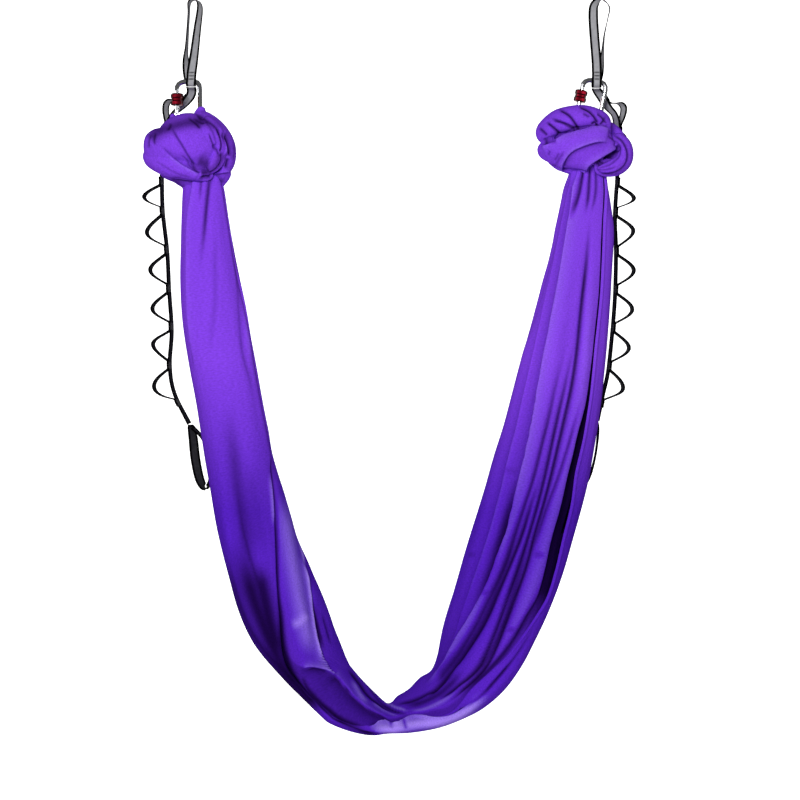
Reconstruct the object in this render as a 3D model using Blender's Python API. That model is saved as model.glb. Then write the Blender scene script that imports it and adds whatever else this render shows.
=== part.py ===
"""Aerial hammock: one length of nylon cloth, knotted at each end round a screw-lock carabiner.

Each carabiner hangs in the end loop of a webbing daisy chain, whose sewn pockets trail behind the
knot and down beside the cloth. X runs from the left anchor to the right one, Y away from the
viewer and Z up. The origin is the bearing point inside the crown of the left anchor loop.
All dimensions are in millimetres; the meshes are in metres.
"""
import math

import bmesh
import bpy
from mathutils import Matrix, Vector

MM = 0.001

# Webbing of the daisy chains
WEB_WIDTH = 20.0
WEB_THICK = 1.8
PLY_GAP = 0.6
TWISTED_PLY_GAP = 3.4
TACK_LENGTH = 15.0

# Where the two carabiners bear in their anchor loops
BEARING_Z = -163.0
LEFT_BEARING_X = -6.0
RIGHT_BEARING_X = 808.0
LEFT_RING_TILT = 0.0
RIGHT_RING_TILT = 12.0

# Carabiner, from the centre of the bar that bears in the webbing
BAR_RADIUS = 5.0
RING_SIDES = 12
GATE_X = -28.0
SPINE_X = 18.0
NOSE_END_Z = -18.0
PIN_Z = -61.0
RING_BOTTOM_Z = -105.0
GATE_RADIUS = 4.8
GATE_TIP_GAP = 0.5
GATE_CHAMFER = 1.0
GATE_SLOT = 4.4
GATE_SLOT_DEPTH = 5.0
TONGUE_THICK = 3.4
TONGUE_RADIUS = 4.1
SHOULDER_Z = PIN_Z - 6.0
PIN_RADIUS = 1.5
PIN_CLEARANCE = 0.3
PIN_LENGTH = 9.0
SPRING_BORE_RADIUS = 2.6
SPRING_BORE_TOP = 26.0
SPRING_COILS = 6
SPRING_WIRE_RADIUS = 0.35
SPRING_RADIUS = 1.8
SPRING_COIL_POINTS = 8
SPRING_BOTTOM = 9.4
PLUNGER_RADIUS = 2.2
PLUNGER_BOTTOM = 4.5
SLEEVE_LENGTH = 24.0
SLEEVE_BOTTOM = 13.0
SLEEVE_RADIUS = 12.4
SLEEVE_WAIST = 10.4
SLEEVE_BORE = 5.4
SLEEVE_FLUTES = 8
SLEEVE_FLUTE_DEPTH = 0.7

# Hanging tails of the chains
TAIL_POCKET_BULGE = 37.0
UPPER_POCKET_BULGE = 26.0

# Knotted ends of the cloth
KNOT_VOXEL = 10.5
TUNNEL_CLEARANCE = 0.8

# Cloth between the knots
CLOTH_SECTIONS = 50
CLOTH_POINTS = 24
CLOTH_FOLD_DEPTH = 6.0
VIEW_POINT = Vector((412, -5000, -800))


def clear_scene():
    """Remove every object, so that the model stands alone."""
    for scene_object in list(bpy.data.objects):
        bpy.data.objects.remove(scene_object, do_unlink=True)


def finish(name, colour, roughness, metallic):
    """Make one piece's own material."""
    material = bpy.data.materials.new(name)
    material.use_nodes = True
    shader = material.node_tree.nodes["Principled BSDF"]
    shader.inputs["Base Color"].default_value = (*colour, 1.0)
    shader.inputs["Roughness"].default_value = roughness
    shader.inputs["Metallic"].default_value = metallic
    return material


def steel(name):
    """Polished plated steel of the carabiners."""
    return finish(name, (0.72, 0.72, 0.74), 0.15, 1.0)


def red_anodised(name):
    """Dark red anodised aluminium of the screw sleeves."""
    return finish(name, (0.30, 0.015, 0.03), 0.3, 0.9)


def black_webbing(name):
    """Black woven nylon webbing."""
    return finish(name, (0.03, 0.03, 0.035), 0.7, 0.0)


def purple_cloth(name):
    """Violet nylon tricot."""
    return finish(name, (0.17, 0.04, 0.62), 0.5, 0.0)


def make_object(name, bm, material, origin=Vector()):
    """Turn a bmesh in millimetres into an object whose origin is the given world point."""
    bmesh.ops.recalc_face_normals(bm, faces=bm.faces)
    bmesh.ops.translate(bm, verts=bm.verts, vec=-origin)
    bmesh.ops.scale(bm, verts=bm.verts, vec=(MM, MM, MM))
    mesh = bpy.data.meshes.new(name)
    bm.to_mesh(mesh)
    bm.free()
    mesh.materials.append(material)
    mesh.shade_smooth()
    mesh.set_sharp_from_angle(angle=math.radians(40))
    made = bpy.data.objects.new(name, mesh)
    made.location = origin * MM
    bpy.context.scene.collection.objects.link(made)
    return made


def hide_cutter(cutter):
    """Keep a cutter out of the model."""
    cutter.hide_render = True
    cutter.display_type = "WIRE"


def boolean(target, other, operation):
    """Join or cut with another object, exactly."""
    modifier = target.modifiers.new(operation.lower(), "BOOLEAN")
    modifier.operation = operation
    modifier.solver = "EXACT"
    modifier.object = other
    hide_cutter(other)


def curve_point(points, position):
    """Point of the smooth curve through the points, at a position counted in spans."""
    last = len(points) - 1
    span = min(int(position), last - 1)
    t = position - span
    p1 = points[span]
    p2 = points[span + 1]
    p0 = points[span - 1] if span > 0 else 2 * p1 - p2
    p3 = points[span + 2] if span + 2 <= last else 2 * p2 - p1
    return 0.5 * (
        2 * p1
        + (p2 - p0) * t
        + (2 * p0 - 5 * p1 + 4 * p2 - p3) * t * t
        + (3 * p1 - p0 - 3 * p2 + p3) * t * t * t
    )


def sample_curve(points, count):
    """Count positions spread evenly by length over the smooth curve through the points.

    The points are vectors of any size: the first three entries are the place, and any further
    ones, such as an angle, ride along."""
    fine_steps = 12 * (len(points) - 1)
    fine = [curve_point(points, i * (len(points) - 1) / fine_steps) for i in range(fine_steps + 1)]
    reach = [0.0]
    for before, after in zip(fine, fine[1:]):
        reach.append(reach[-1] + (after.xyz - before.xyz).length)
    picked = []
    index = 0
    for i in range(count):
        wanted = reach[-1] * i / (count - 1)
        while index < fine_steps - 1 and reach[index + 1] < wanted:
            index += 1
        part = (wanted - reach[index]) / (reach[index + 1] - reach[index])
        picked.append(fine[index].lerp(fine[index + 1], min(max(part, 0.0), 1.0)))
    return picked


def sample_loop(points, per_span):
    """Positions over the smooth closed curve through the points, the same number in each span."""
    count = len(points)
    padded = [points[-1]] + points + [points[0], points[1]]
    return [curve_point(padded, 1 + i / per_span) for i in range(count * per_span)]


def loft(bm, rings, closed=False):
    """Skin a list of vertex rings, capped at both ends unless the rings close on themselves."""
    pairs = list(zip(rings, rings[1:]))
    if closed:
        pairs.append((rings[-1], rings[0]))
    for before, after in pairs:
        sides = len(before)
        for i in range(sides):
            j = (i + 1) % sides
            bm.faces.new((before[i], before[j], after[j], after[i]))
    if not closed:
        bm.faces.new(reversed(rings[0]))
        bm.faces.new(rings[-1])


def tangents(centres, closed=False):
    """Unit direction of a path at each of its points."""
    count = len(centres)
    found = []
    for i in range(count):
        before = centres[i - 1] if i > 0 or closed else centres[0]
        after = centres[(i + 1) % count] if i < count - 1 or closed else centres[-1]
        found.append((after - before).normalized())
    return found


def band(bm, centres, across, width, thickness, closed=False):
    """Sweep a flat strap along a path, its width along the given directions."""
    rings = []
    for centre, along, side in zip(centres, tangents(centres, closed), across):
        flat = (side - along * side.dot(along)).normalized()
        normal = along.cross(flat)
        ring = [
            bm.verts.new(centre + flat * (u * width / 2) + normal * (v * thickness / 2))
            for u, v in ((-1, -1), (1, -1), (1, 1), (-1, 1))
        ]
        rings.append(ring)
    loft(bm, rings, closed)


def tube(bm, centres, radii, sides, first_across=Vector((0, 1, 0))):
    """Sweep a round bar along a path, carrying its first side along without twist."""
    rings = []
    side = first_across
    for centre, along, radius in zip(centres, tangents(centres), radii):
        side = (side - along * side.dot(along)).normalized()
        other = along.cross(side)
        ring = []
        for i in range(sides):
            angle = 2 * math.pi * i / sides
            ring.append(bm.verts.new(centre + (side * math.cos(angle) + other * math.sin(angle)) * radius))
        rings.append(ring)
    loft(bm, rings)


def turned(bm, profile, sides, flutes=0, flute_depth=0.0):
    """Turn a closed profile of (radius, height) about Z, with flutes on its widest part."""
    rings = []
    widest = max(radius for radius, height in profile)
    for i in range(sides):
        angle = 2 * math.pi * i / sides
        ring = []
        for radius, height in profile:
            depth = flute_depth if radius > 0.75 * widest else 0.0
            reach = radius + depth * math.cos(flutes * angle)
            ring.append(bm.verts.new((reach * math.cos(angle), reach * math.sin(angle), height)))
        rings.append(ring)
    loft(bm, rings, closed=True)


def web_path(points, count=0, per_span=0):
    """Places and width directions of a strap, from points of (x, y, z, turn from X in degrees).

    An open strap has a count of places, and a closed one a number in each span."""
    vectors = [Vector(point) for point in points]
    sampled = sample_loop(vectors, per_span) if per_span else sample_curve(vectors, count)
    centres = [point.xyz for point in sampled]
    across = []
    for point in sampled:
        turn = math.radians(point.w)
        across.append(Vector((math.cos(turn), math.sin(turn), 0)))
    return centres, across


def web_loop(name, points, per_span, origin=Vector()):
    """Closed loop of webbing at one end of a chain."""
    centres, across = web_path(points, per_span=per_span)
    bm = bmesh.new()
    band(bm, centres, across, WEB_WIDTH, WEB_THICK, closed=True)
    return make_object(name, bm, black_webbing(name), origin)


def strap(name, points, sections, origin=Vector()):
    """Open length of base webbing."""
    centres, across = web_path(points, sections)
    bm = bmesh.new()
    band(bm, centres, across, WEB_WIDTH, WEB_THICK)
    return make_object(name, bm, black_webbing(name), origin)


def pocket_strap(name, points, tacks, bulge, ply_gap=PLY_GAP, origin=Vector(), steps=9):
    """Second ply of webbing, sewn down at the tacks and standing off in a pocket between them.

    The tacks are places along the base strap, in millimetres from its start."""
    dense = 160
    base, base_across = web_path(points, dense)
    length = sum((b - a).length for a, b in zip(base, base[1:]))
    directions = tangents(base)

    def on_base(reach):
        position = min(max(reach / length, 0.0), 1.0) * (dense - 1)
        index = min(int(position), dense - 2)
        part = position - index
        centre = base[index].lerp(base[index + 1], part)
        side = base_across[index].lerp(base_across[index + 1], part).normalized()
        return centre, side, side.cross(directions[index]).normalized()

    centres = []
    across = []

    def add(reach, lift):
        centre, side, normal = on_base(reach)
        centres.append(centre + normal * (WEB_THICK + ply_gap + lift))
        across.append(side)

    for tack, following in zip(tacks, tacks[1:]):
        for i in range(4):
            add(tack + TACK_LENGTH * i / 3, 0.0)
        start = tack + TACK_LENGTH
        for i in range(1, steps):
            t = i / steps
            add(start + (following - start) * t, bulge * math.sin(math.pi * t))
    add(tacks[-1], 0.0)
    add(tacks[-1] + TACK_LENGTH, 0.0)
    bm = bmesh.new()
    band(bm, centres, across, WEB_WIDTH, WEB_THICK)
    return make_object(name, bm, black_webbing(name), origin)


def ring_matrix(bearing, tilt):
    """Placing of a carabiner: its bearing bar at the given point, its lower end swung to -X."""
    return Matrix.Translation(bearing * MM) @ Matrix.Rotation(math.radians(tilt), 4, "Y")


def ring_outline():
    """Centre line of the carabiner's bar, from the nose over the bearing bar to the hinge."""
    corners = [
        (GATE_X, NOSE_END_Z),
        (GATE_X, NOSE_END_Z + 7),
        (GATE_X + 5, -3.8),
        (GATE_X + 15, -0.3),
        (0, 0.4),
        (SPINE_X - 7, -1.2),
        (SPINE_X - 1.3, -7),
        (SPINE_X, -16),
        (SPINE_X, -32),
        (SPINE_X, PIN_Z - 8),
        (SPINE_X - 3, -89),
        (SPINE_X - 15, -102),
        (SPINE_X - 25, RING_BOTTOM_Z),
        (GATE_X + 9, -99),
        (GATE_X + 1, -84),
        (GATE_X, SHOULDER_Z),
    ]
    return [Vector((x, 0, z)) for x, z in corners]


def ring_bar(bm, extra, sections):
    """The carabiner's bent bar, or a fatter one that cuts its way through a knot."""
    centres = sample_curve(ring_outline(), sections)
    tube(bm, centres, [BAR_RADIUS + extra] * sections, RING_SIDES)


def placed(made, matrix, axis_point):
    """Put a piece built about its joint axis where the carabiner hangs."""
    made.matrix_world = matrix @ Matrix.Translation(axis_point * MM)
    return made


def carabiner_body(name, matrix):
    """Bent steel bar whose lower end is flattened to a tongue for the gate's pin."""
    bm = bmesh.new()
    ring_bar(bm, 0.0, 34)
    body = make_object(name, bm, steel(name))
    body.matrix_world = matrix
    tongue = make_tongue(name + "_tongue", matrix)
    boolean(body, tongue, "UNION")
    hole = pin_solid(name + "_pin_hole", matrix, PIN_RADIUS + PIN_CLEARANCE, 2 * PIN_LENGTH)
    boolean(body, hole, "DIFFERENCE")
    return body


def make_tongue(name, matrix):
    """Flat end that the gate's fork straddles, round about the pin."""
    bm = bmesh.new()
    outline = [(-TONGUE_RADIUS, SHOULDER_Z - PIN_Z - 6)]
    steps = 8
    for i in range(steps + 1):
        angle = math.pi * (1 - i / steps)
        outline.append((TONGUE_RADIUS * math.cos(angle), TONGUE_RADIUS * math.sin(angle)))
    outline.append((TONGUE_RADIUS, SHOULDER_Z - PIN_Z - 6))
    front = [bm.verts.new((x, -TONGUE_THICK / 2, z)) for x, z in outline]
    back = [bm.verts.new((x, TONGUE_THICK / 2, z)) for x, z in outline]
    loft(bm, [front, back])
    made = make_object(name, bm, steel(name))
    return placed(made, matrix, Vector((GATE_X, 0, PIN_Z)))


def pin_solid(name, matrix, radius, length):
    """Round pin or pin hole across the hinge."""
    bm = bmesh.new()
    half = length / 2
    profile = [Vector((0, -half, 0)), Vector((0, half, 0))]
    tube(bm, profile, [radius, radius], 16, Vector((1, 0, 0)))
    made = make_object(name, bm, steel(name))
    return placed(made, matrix, Vector((GATE_X, 0, PIN_Z)))


def gate(name, matrix):
    """Round gate, forked over the tongue and bored from below for its spring."""
    tip = NOSE_END_Z - GATE_TIP_GAP - PIN_Z
    bm = bmesh.new()
    foot = -GATE_RADIUS
    heights = [foot, -3.4, 0, tip - GATE_CHAMFER, tip]
    radii = [2.6, 4.4, GATE_RADIUS, GATE_RADIUS, GATE_RADIUS - GATE_CHAMFER]
    centres = [Vector((0, 0, height)) for height in heights]
    tube(bm, centres, radii, 20)
    made = placed(make_object(name, bm, steel(name)), matrix, Vector((GATE_X, 0, PIN_Z)))

    bm = bmesh.new()
    slot_low = -3 * GATE_RADIUS
    bmesh.ops.create_cube(bm, size=1.0)
    bmesh.ops.scale(bm, verts=bm.verts, vec=(4 * GATE_RADIUS, GATE_SLOT, GATE_SLOT_DEPTH - slot_low))
    bmesh.ops.translate(bm, verts=bm.verts, vec=(0, 0, (GATE_SLOT_DEPTH + slot_low) / 2))
    slot = make_object(name + "_slot", bm, steel(name))
    boolean(made, placed(slot, matrix, Vector((GATE_X, 0, PIN_Z))), "DIFFERENCE")

    bm = bmesh.new()
    bore_path = [Vector((0, 0, 0)), Vector((0, 0, SPRING_BORE_TOP))]
    tube(bm, bore_path, [SPRING_BORE_RADIUS] * 2, 14)
    bore = make_object(name + "_bore", bm, steel(name))
    boolean(made, placed(bore, matrix, Vector((GATE_X, 0, PIN_Z))), "DIFFERENCE")

    hole = pin_solid(name + "_hole", matrix, PIN_RADIUS + PIN_CLEARANCE, 2 * PIN_LENGTH)
    boolean(made, hole, "DIFFERENCE")
    return made


def gate_spring(name, matrix):
    """Small compression spring in the gate's bore."""
    bm = bmesh.new()
    centres = []
    top = SPRING_BORE_TOP - 1.2
    steps = SPRING_COILS * SPRING_COIL_POINTS
    for i in range(steps + 1):
        angle = 2 * math.pi * i / SPRING_COIL_POINTS
        height = SPRING_BOTTOM + (top - SPRING_BOTTOM) * i / steps
        centres.append(Vector((SPRING_RADIUS * math.cos(angle), SPRING_RADIUS * math.sin(angle), height)))
    tube(bm, centres, [SPRING_WIRE_RADIUS] * (steps + 1), 5, Vector((0, 0, 1)))
    made = make_object(name, bm, steel(name))
    return placed(made, matrix, Vector((GATE_X, 0, PIN_Z)))


def gate_plunger(name, matrix):
    """Push rod between the spring and the tongue, with a domed foot."""
    bm = bmesh.new()
    heights = [PLUNGER_BOTTOM, PLUNGER_BOTTOM + 0.9, SPRING_BOTTOM - 1.2]
    centres = [Vector((0, 0, height)) for height in heights]
    tube(bm, centres, [1.1, PLUNGER_RADIUS, PLUNGER_RADIUS], 12)
    made = make_object(name, bm, steel(name))
    return placed(made, matrix, Vector((GATE_X, 0, PIN_Z)))


def screw_sleeve(name, matrix):
    """Fluted sleeve with a waist, which screws up over the nose to lock the gate."""
    low = SLEEVE_BOTTOM
    high = SLEEVE_BOTTOM + SLEEVE_LENGTH
    middle = (low + high) / 2
    profile = [
        (SLEEVE_BORE, low),
        (SLEEVE_RADIUS - 2.4, low),
        (SLEEVE_RADIUS - 0.6, low + 2.2),
        (SLEEVE_RADIUS - 0.6, middle - 4.2),
        (SLEEVE_WAIST, middle - 1.6),
        (SLEEVE_WAIST, middle + 1.6),
        (SLEEVE_RADIUS - 0.6, middle + 4.2),
        (SLEEVE_RADIUS - 0.6, high - 2.2),
        (SLEEVE_RADIUS - 2.4, high),
        (SLEEVE_BORE, high),
    ]
    bm = bmesh.new()
    turned(bm, profile, 3 * SLEEVE_FLUTES, SLEEVE_FLUTES, SLEEVE_FLUTE_DEPTH)
    made = make_object(name, bm, red_anodised(name))
    return placed(made, matrix, Vector((GATE_X, 0, PIN_Z)))


def carabiner(side, bearing, tilt):
    """All the pieces of one screw-lock carabiner."""
    matrix = ring_matrix(bearing, tilt)
    carabiner_body(side + "_carabiner_body", matrix)
    pin_solid(side + "_gate_pin", matrix, PIN_RADIUS, PIN_LENGTH)
    gate(side + "_gate", matrix)
    gate_spring(side + "_gate_spring", matrix)
    gate_plunger(side + "_gate_plunger", matrix)
    screw_sleeve(side + "_screw_sleeve", matrix)
    return matrix


# Each strand of a knot: points of (x, y, z, radius) about the knot's centre
LEFT_KNOT_CENTRE = Vector((-12, 0, -290))
LEFT_KNOT_FLOOR = -373.0
LEFT_KNOT_STRANDS = (
    ((-78, -4, 6, 22), (-56, -20, 8, 34), (-22, -26, 10, 42), (12, -26, 12, 44), (40, -18, 6, 38), (56, -8, -2, 26)),
    ((-82, -2, -16, 16), (-64, -22, -30, 22), (-34, -34, -44, 24), (4, -38, -56, 19), (50, -26, -62, 12)),
    ((-56, 12, -42, 22), (-26, 10, -58, 24), (8, 4, -70, 24), (42, 0, -74, 24), (66, -6, -60, 20), (80, -6, -44, 16)),
    ((14, 0, 62, 14), (40, -2, 46, 22), (62, -4, 28, 24), (74, -4, -2, 24), (72, -6, -36, 24), (58, -12, -58, 18)),
    ((-72, 12, 4, 22), (-44, 26, 8, 32), (0, 34, 10, 36), (44, 26, 4, 32), (70, 8, -8, 24)),
    ((-56, 14, -38, 22), (-20, 32, -46, 26), (28, 30, -46, 26)),
    ((-30, 2, 4, 46), (24, 0, 0, 50)),
    ((-2, 0, -50, 34), (12, 0, -72, 32), (16, 0, -96, 30)),
)
RIGHT_KNOT_CENTRE = Vector((784, 0, -280))
RIGHT_KNOT_FLOOR = -358.0
RIGHT_KNOT_STRANDS = (
    ((-88, -4, 10, 15), (-68, -18, 28, 24), (-40, -28, 36, 30), (-6, -31, 37, 29), (26, -20, 32, 26), (44, -8, 22, 18)),
    ((-88, -6, -20, 12), (-66, -24, -24, 22), (-38, -32, -26, 30), (-6, -34, -20, 34), (26, -32, -6, 28)),
    ((50, -24, 4, 16), (68, -20, -16, 23), (68, -20, -44, 24), (42, -28, -58, 20), (14, -34, -58, 14)),
    ((-78, 8, -22, 14), (-50, 0, -42, 20), (-16, -4, -54, 20), (22, 0, -60, 20), (48, 2, -54, 18)),
    ((-78, 12, 6, 20), (-44, 26, 14, 32), (0, 34, 14, 36), (44, 26, 4, 30), (68, 8, -20, 22)),
    ((-44, 22, -36, 22), (0, 32, -40, 26), (44, 26, -42, 24), (66, 4, -44, 18)),
    ((-28, 2, 2, 42), (26, 2, -8, 44)),
    ((-4, 0, -40, 34), (0, 0, -62, 32), (1, 0, -90, 30)),
)


def knot(name, centre, strands, floor, ring):
    """Cloth wound and tucked round the carabiner, open where its bar passes through."""
    bm = bmesh.new()
    for strand in strands:
        points = [Vector(point) for point in strand]
        for i, point in enumerate(points):
            points[i] = Vector((*(point.xyz + centre), point.w))
        picked = sample_curve(points, 9)
        centres = [point.xyz for point in picked]
        radii = [point.w for point in picked]
        tube(bm, centres, radii, 14)
        for end, radius in ((centres[0], radii[0]), (centres[-1], radii[-1])):
            bmesh.ops.create_icosphere(bm, subdivisions=2, radius=radius, matrix=Matrix.Translation(end))
    made = make_object(name, bm, purple_cloth(name))
    remesh = made.modifiers.new("skin", "REMESH")
    remesh.mode = "VOXEL"
    remesh.voxel_size = KNOT_VOXEL * MM
    remesh.use_smooth_shade = True
    smooth = made.modifiers.new("smooth", "SMOOTH")
    smooth.iterations = 3
    smooth.factor = 0.5

    bm = bmesh.new()
    ring_bar(bm, TUNNEL_CLEARANCE, 34)
    tunnel = make_object(name + "_tunnel", bm, purple_cloth(name))
    tunnel.matrix_world = ring
    boolean(made, tunnel, "DIFFERENCE")

    bm = bmesh.new()
    bmesh.ops.create_cube(bm, size=300.0)
    bmesh.ops.translate(bm, verts=bm.verts, vec=centre + Vector((0, 0, floor - centre.z - 150)))
    below = make_object(name + "_below", bm, purple_cloth(name))
    boolean(made, below, "DIFFERENCE")
    return made


# The hanging cloth, from left knot to right: outer edge (x, z), inner edge (x, z), depth along Y, and
# how far the section leans, in degrees, with its outer edge towards the viewer
CLOTH_STATIONS = (
    (-20, -373.4, 54, -373.4, 66, 0),
    (-26, -530, 88, -536, 96, 0),
    (-10, -718, 123, -712, 110, 0),
    (32, -982, 170, -948, 128, 0.8),
    (98, -1234, 256, -1184, 150, 23.1),
    (192, -1368, 316, -1324, 180, 40.7),
    (312, -1464, 364, -1390, 230, 49.2),
    (388, -1467, 388, -1408, 262, 50.6),
    (476, -1458, 432, -1374, 236, 49.6),
    (564, -1418, 480, -1328, 196, 44.8),
    (692, -1244, 516, -1194, 156, 26.5),
    (772, -1020, 576, -988, 134, 3.7),
    (816, -750, 644, -752, 116, 0),
    (836, -530, 704, -550, 98, 0),
    (826, -358.4, 748, -358.4, 64, 0),
)


def cloth(name):
    """The long gathered sling, folded lengthwise, from one knot to the other."""
    places = []
    halves = []
    for outer_x, outer_z, inner_x, inner_z, depth, lean in CLOTH_STATIONS:
        middle = Vector(((outer_x + inner_x) / 2, 0, (outer_z + inner_z) / 2))
        places.append(middle)
        halves.append(Vector((outer_x - middle.x, depth / 2, outer_z - middle.z, math.radians(lean))))
    bm = bmesh.new()
    rings = []
    spans = len(places) - 1
    for i in range(CLOTH_SECTIONS):
        position = spans * i / (CLOTH_SECTIONS - 1)
        centre = curve_point(places, position)
        half = curve_point(halves, position)
        outward = Vector((half.x, 0, half.z))
        ring = []
        for j in range(CLOTH_POINTS):
            angle = 2 * math.pi * j / CLOTH_POINTS
            fold = CLOTH_FOLD_DEPTH * (1 if j % 2 else -1)
            back = math.copysign(abs(math.sin(angle)) ** 0.85, math.sin(angle))
            away = (half.y + fold) * back * math.cos(half.w) - half.y * math.cos(angle) * math.sin(half.w)
            spot = centre + outward * math.cos(angle)
            # The edges are as seen from in front, so what leans nearer is drawn in
            drawn = math.sin(half.w) * away / VIEW_POINT.y
            spot -= Vector((spot.x - VIEW_POINT.x, 0, spot.z - VIEW_POINT.z)) * drawn
            ring.append(bm.verts.new(spot + Vector((0, away, 0))))
        rings.append(ring)
    loft(bm, rings)
    return make_object(name, bm, purple_cloth(name))


# Straps: points of (x, y, z, turn of the width from X in degrees)
LEFT_LOOP = [
    (0, 0, 0.9, 72),
    (9.5, -2, -5, 68),
    (12, -4, -20, 58),
    (7, -6, -60, 46),
    (1, -7, -110, 30),
    (-4, -7.6, -146, 6),
    (-5, -7.4, -160, 0),
    (-6, -5.6, -167.4, 0),
    (-6, -2.6, -171.2, 0),
    (-6, 0, -172.2, 0),
    (-6, 2.6, -171.2, 0),
    (-7, 5.6, -167.4, 0),
    (-10, 7.4, -160, 0),
    (-13, 8.2, -146, 12),
    (-17, 7, -118, 58),
    (-15, 6, -90, 78),
    (-11, 4, -30, 84),
    (-9.5, 2, -5, 76),
]
LEFT_UPPER = [
    (-6, 0.5, -174.6, 0),
    (-6, 8, -175.4, 0),
    (-6, 17, -179, 0),
    (-10, 25, -190, 12),
    (-26, 30, -208, 34),
    (-42, 36, -222, 50),
    (-54, 48, -240, 52),
    (-60, 64, -266, 40),
    (-62, 70, -296, 34),
    (-65.5, 64, -312, 54),
    (-68.8, 52.6, -331, 70),
    (-69, 50.8, -343.2, 72),
]
LEFT_PIVOT = Vector((-69, 51, -344))
LEFT_TAIL = [
    (-69, 50.7, -344.8, 72),
    (-69, 50.2, -356, 72),
    (-67, 48, -420, 72),
    (-58, 47, -500, 72),
    (-54, 47, -580, 72),
    (-49, 48, -660, 72),
    (-53, 50, -730, 72),
    (-44, 52, -786, 72),
    (-14, 54, -848, 66),
]
LEFT_END_LOOP = [
    (-11, 54, -854, 60),
    (-6, 50, -876, 24),
    (-1, 49, -920, 10),
    (8, 52, -962, 26),
    (20, 57, -978, 60),
    (28, 60, -956, 80),
    (25, 61, -920, 84),
    (14, 60, -880, 74),
    (-6, 57, -857, 62),
]
RIGHT_LOOP = [
    (816, 0, 0.9, 58),
    (801, -4, -10, 30),
    (798, -6, -30, 8),
    (800, -7, -70, 4),
    (804, -7.4, -120, 2),
    (805, -7.8, -146, 0),
    (805, -7.8, -160, 0),
    (805, -6.2, -169, 0),
    (805, -2.8, -173.6, 0),
    (805, 0, -174.8, 0),
    (805, 2.8, -173.6, 0),
    (805, 6.6, -169, 0),
    (806, 9.6, -160, 0),
    (811, 9.8, -144, 20),
    (817, 7, -110, 66),
    (821, 5, -70, 82),
    (828, 3, -36, 88),
    (831, 1, -14, 86),
]
RIGHT_UPPER = [
    (805, 0.5, -177.2, 0),
    (806, 8, -178, 0),
    (809, 17, -181, 0),
    (817, 25, -191, -12),
    (830, 30, -210, -34),
    (844, 34, -226, -50),
    (850, 48, -246, -52),
    (850, 62, -272, -44),
    (849, 64, -300, -40),
    (849.5, 61, -314, -52),
    (851, 52.2, -331, -70),
    (851, 50.8, -343.2, -72),
]
RIGHT_PIVOT = Vector((851, 51, -344))
RIGHT_TAIL = [
    (851, 50.7, -344.8, -72),
    (850.6, 50.2, -356, -72),
    (846, 48, -430, -72),
    (848, 47, -500, -72),
    (846, 47, -590, -72),
    (840, 48, -670, -72),
    (832, 50, -744, -72),
    (822, 52, -790, -72),
    (812, 55, -842, -76),
]
RIGHT_END_LOOP = [
    (811, 55, -848, -78),
    (812, 52, -870, -82),
    (806, 51, -915, -84),
    (796, 53, -952, -80),
    (786, 58, -968, -80),
    (779, 62, -950, -80),
    (783, 64, -915, -80),
    (796, 62, -875, -80),
    (806.5, 57.5, -851, -78),
]

UPPER_TACKS = (34, 104, 178)
TAIL_TACKS = (5, 66, 145, 223, 300, 378, 456)


def daisy_chain(side, loop, upper, tail, ends, pivot):
    """One chain: anchor loop, the stretch behind the knot, and the hanging tail."""
    web_loop(side + "_anchor_loop", loop, 3)
    strap(side + "_chain_base", upper, 52)
    pocket_strap(side + "_chain_pockets", upper, UPPER_TACKS, UPPER_POCKET_BULGE, TWISTED_PLY_GAP)
    strap(side + "_tail_base", tail, 56, pivot)
    pocket_strap(side + "_tail_pockets", tail, TAIL_TACKS, TAIL_POCKET_BULGE, PLY_GAP, pivot)
    web_loop(side + "_tail_end_loop", ends, 2, pivot)


def build():
    """Model the whole hammock."""
    clear_scene()
    left_ring = carabiner("left", Vector((LEFT_BEARING_X, 0, BEARING_Z)), LEFT_RING_TILT)
    right_ring = carabiner("right", Vector((RIGHT_BEARING_X, 0, BEARING_Z)), RIGHT_RING_TILT)
    knot("left_knot", LEFT_KNOT_CENTRE, LEFT_KNOT_STRANDS, LEFT_KNOT_FLOOR, left_ring)
    knot("right_knot", RIGHT_KNOT_CENTRE, RIGHT_KNOT_STRANDS, RIGHT_KNOT_FLOOR, right_ring)
    cloth("sling_cloth")
    daisy_chain("left", LEFT_LOOP, LEFT_UPPER, LEFT_TAIL, LEFT_END_LOOP, LEFT_PIVOT)
    daisy_chain("right", RIGHT_LOOP, RIGHT_UPPER, RIGHT_TAIL, RIGHT_END_LOOP, RIGHT_PIVOT)


build()
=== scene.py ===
"""Looks of the aerial hammock: gathered violet cloth, knotted round two carabiners in webbing chains.

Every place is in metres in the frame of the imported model: X from the left anchor to the right one,
Y away from the viewer and Z up. Places "as seen" are millimetres in the upright plane through the
anchors, where the camera in front of the hammock sees them.
"""
import logging
import math
from dataclasses import dataclass
from enum import Enum
from typing import Any, Sequence

import bmesh
import bpy
import numpy as np
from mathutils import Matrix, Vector, noise


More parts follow.
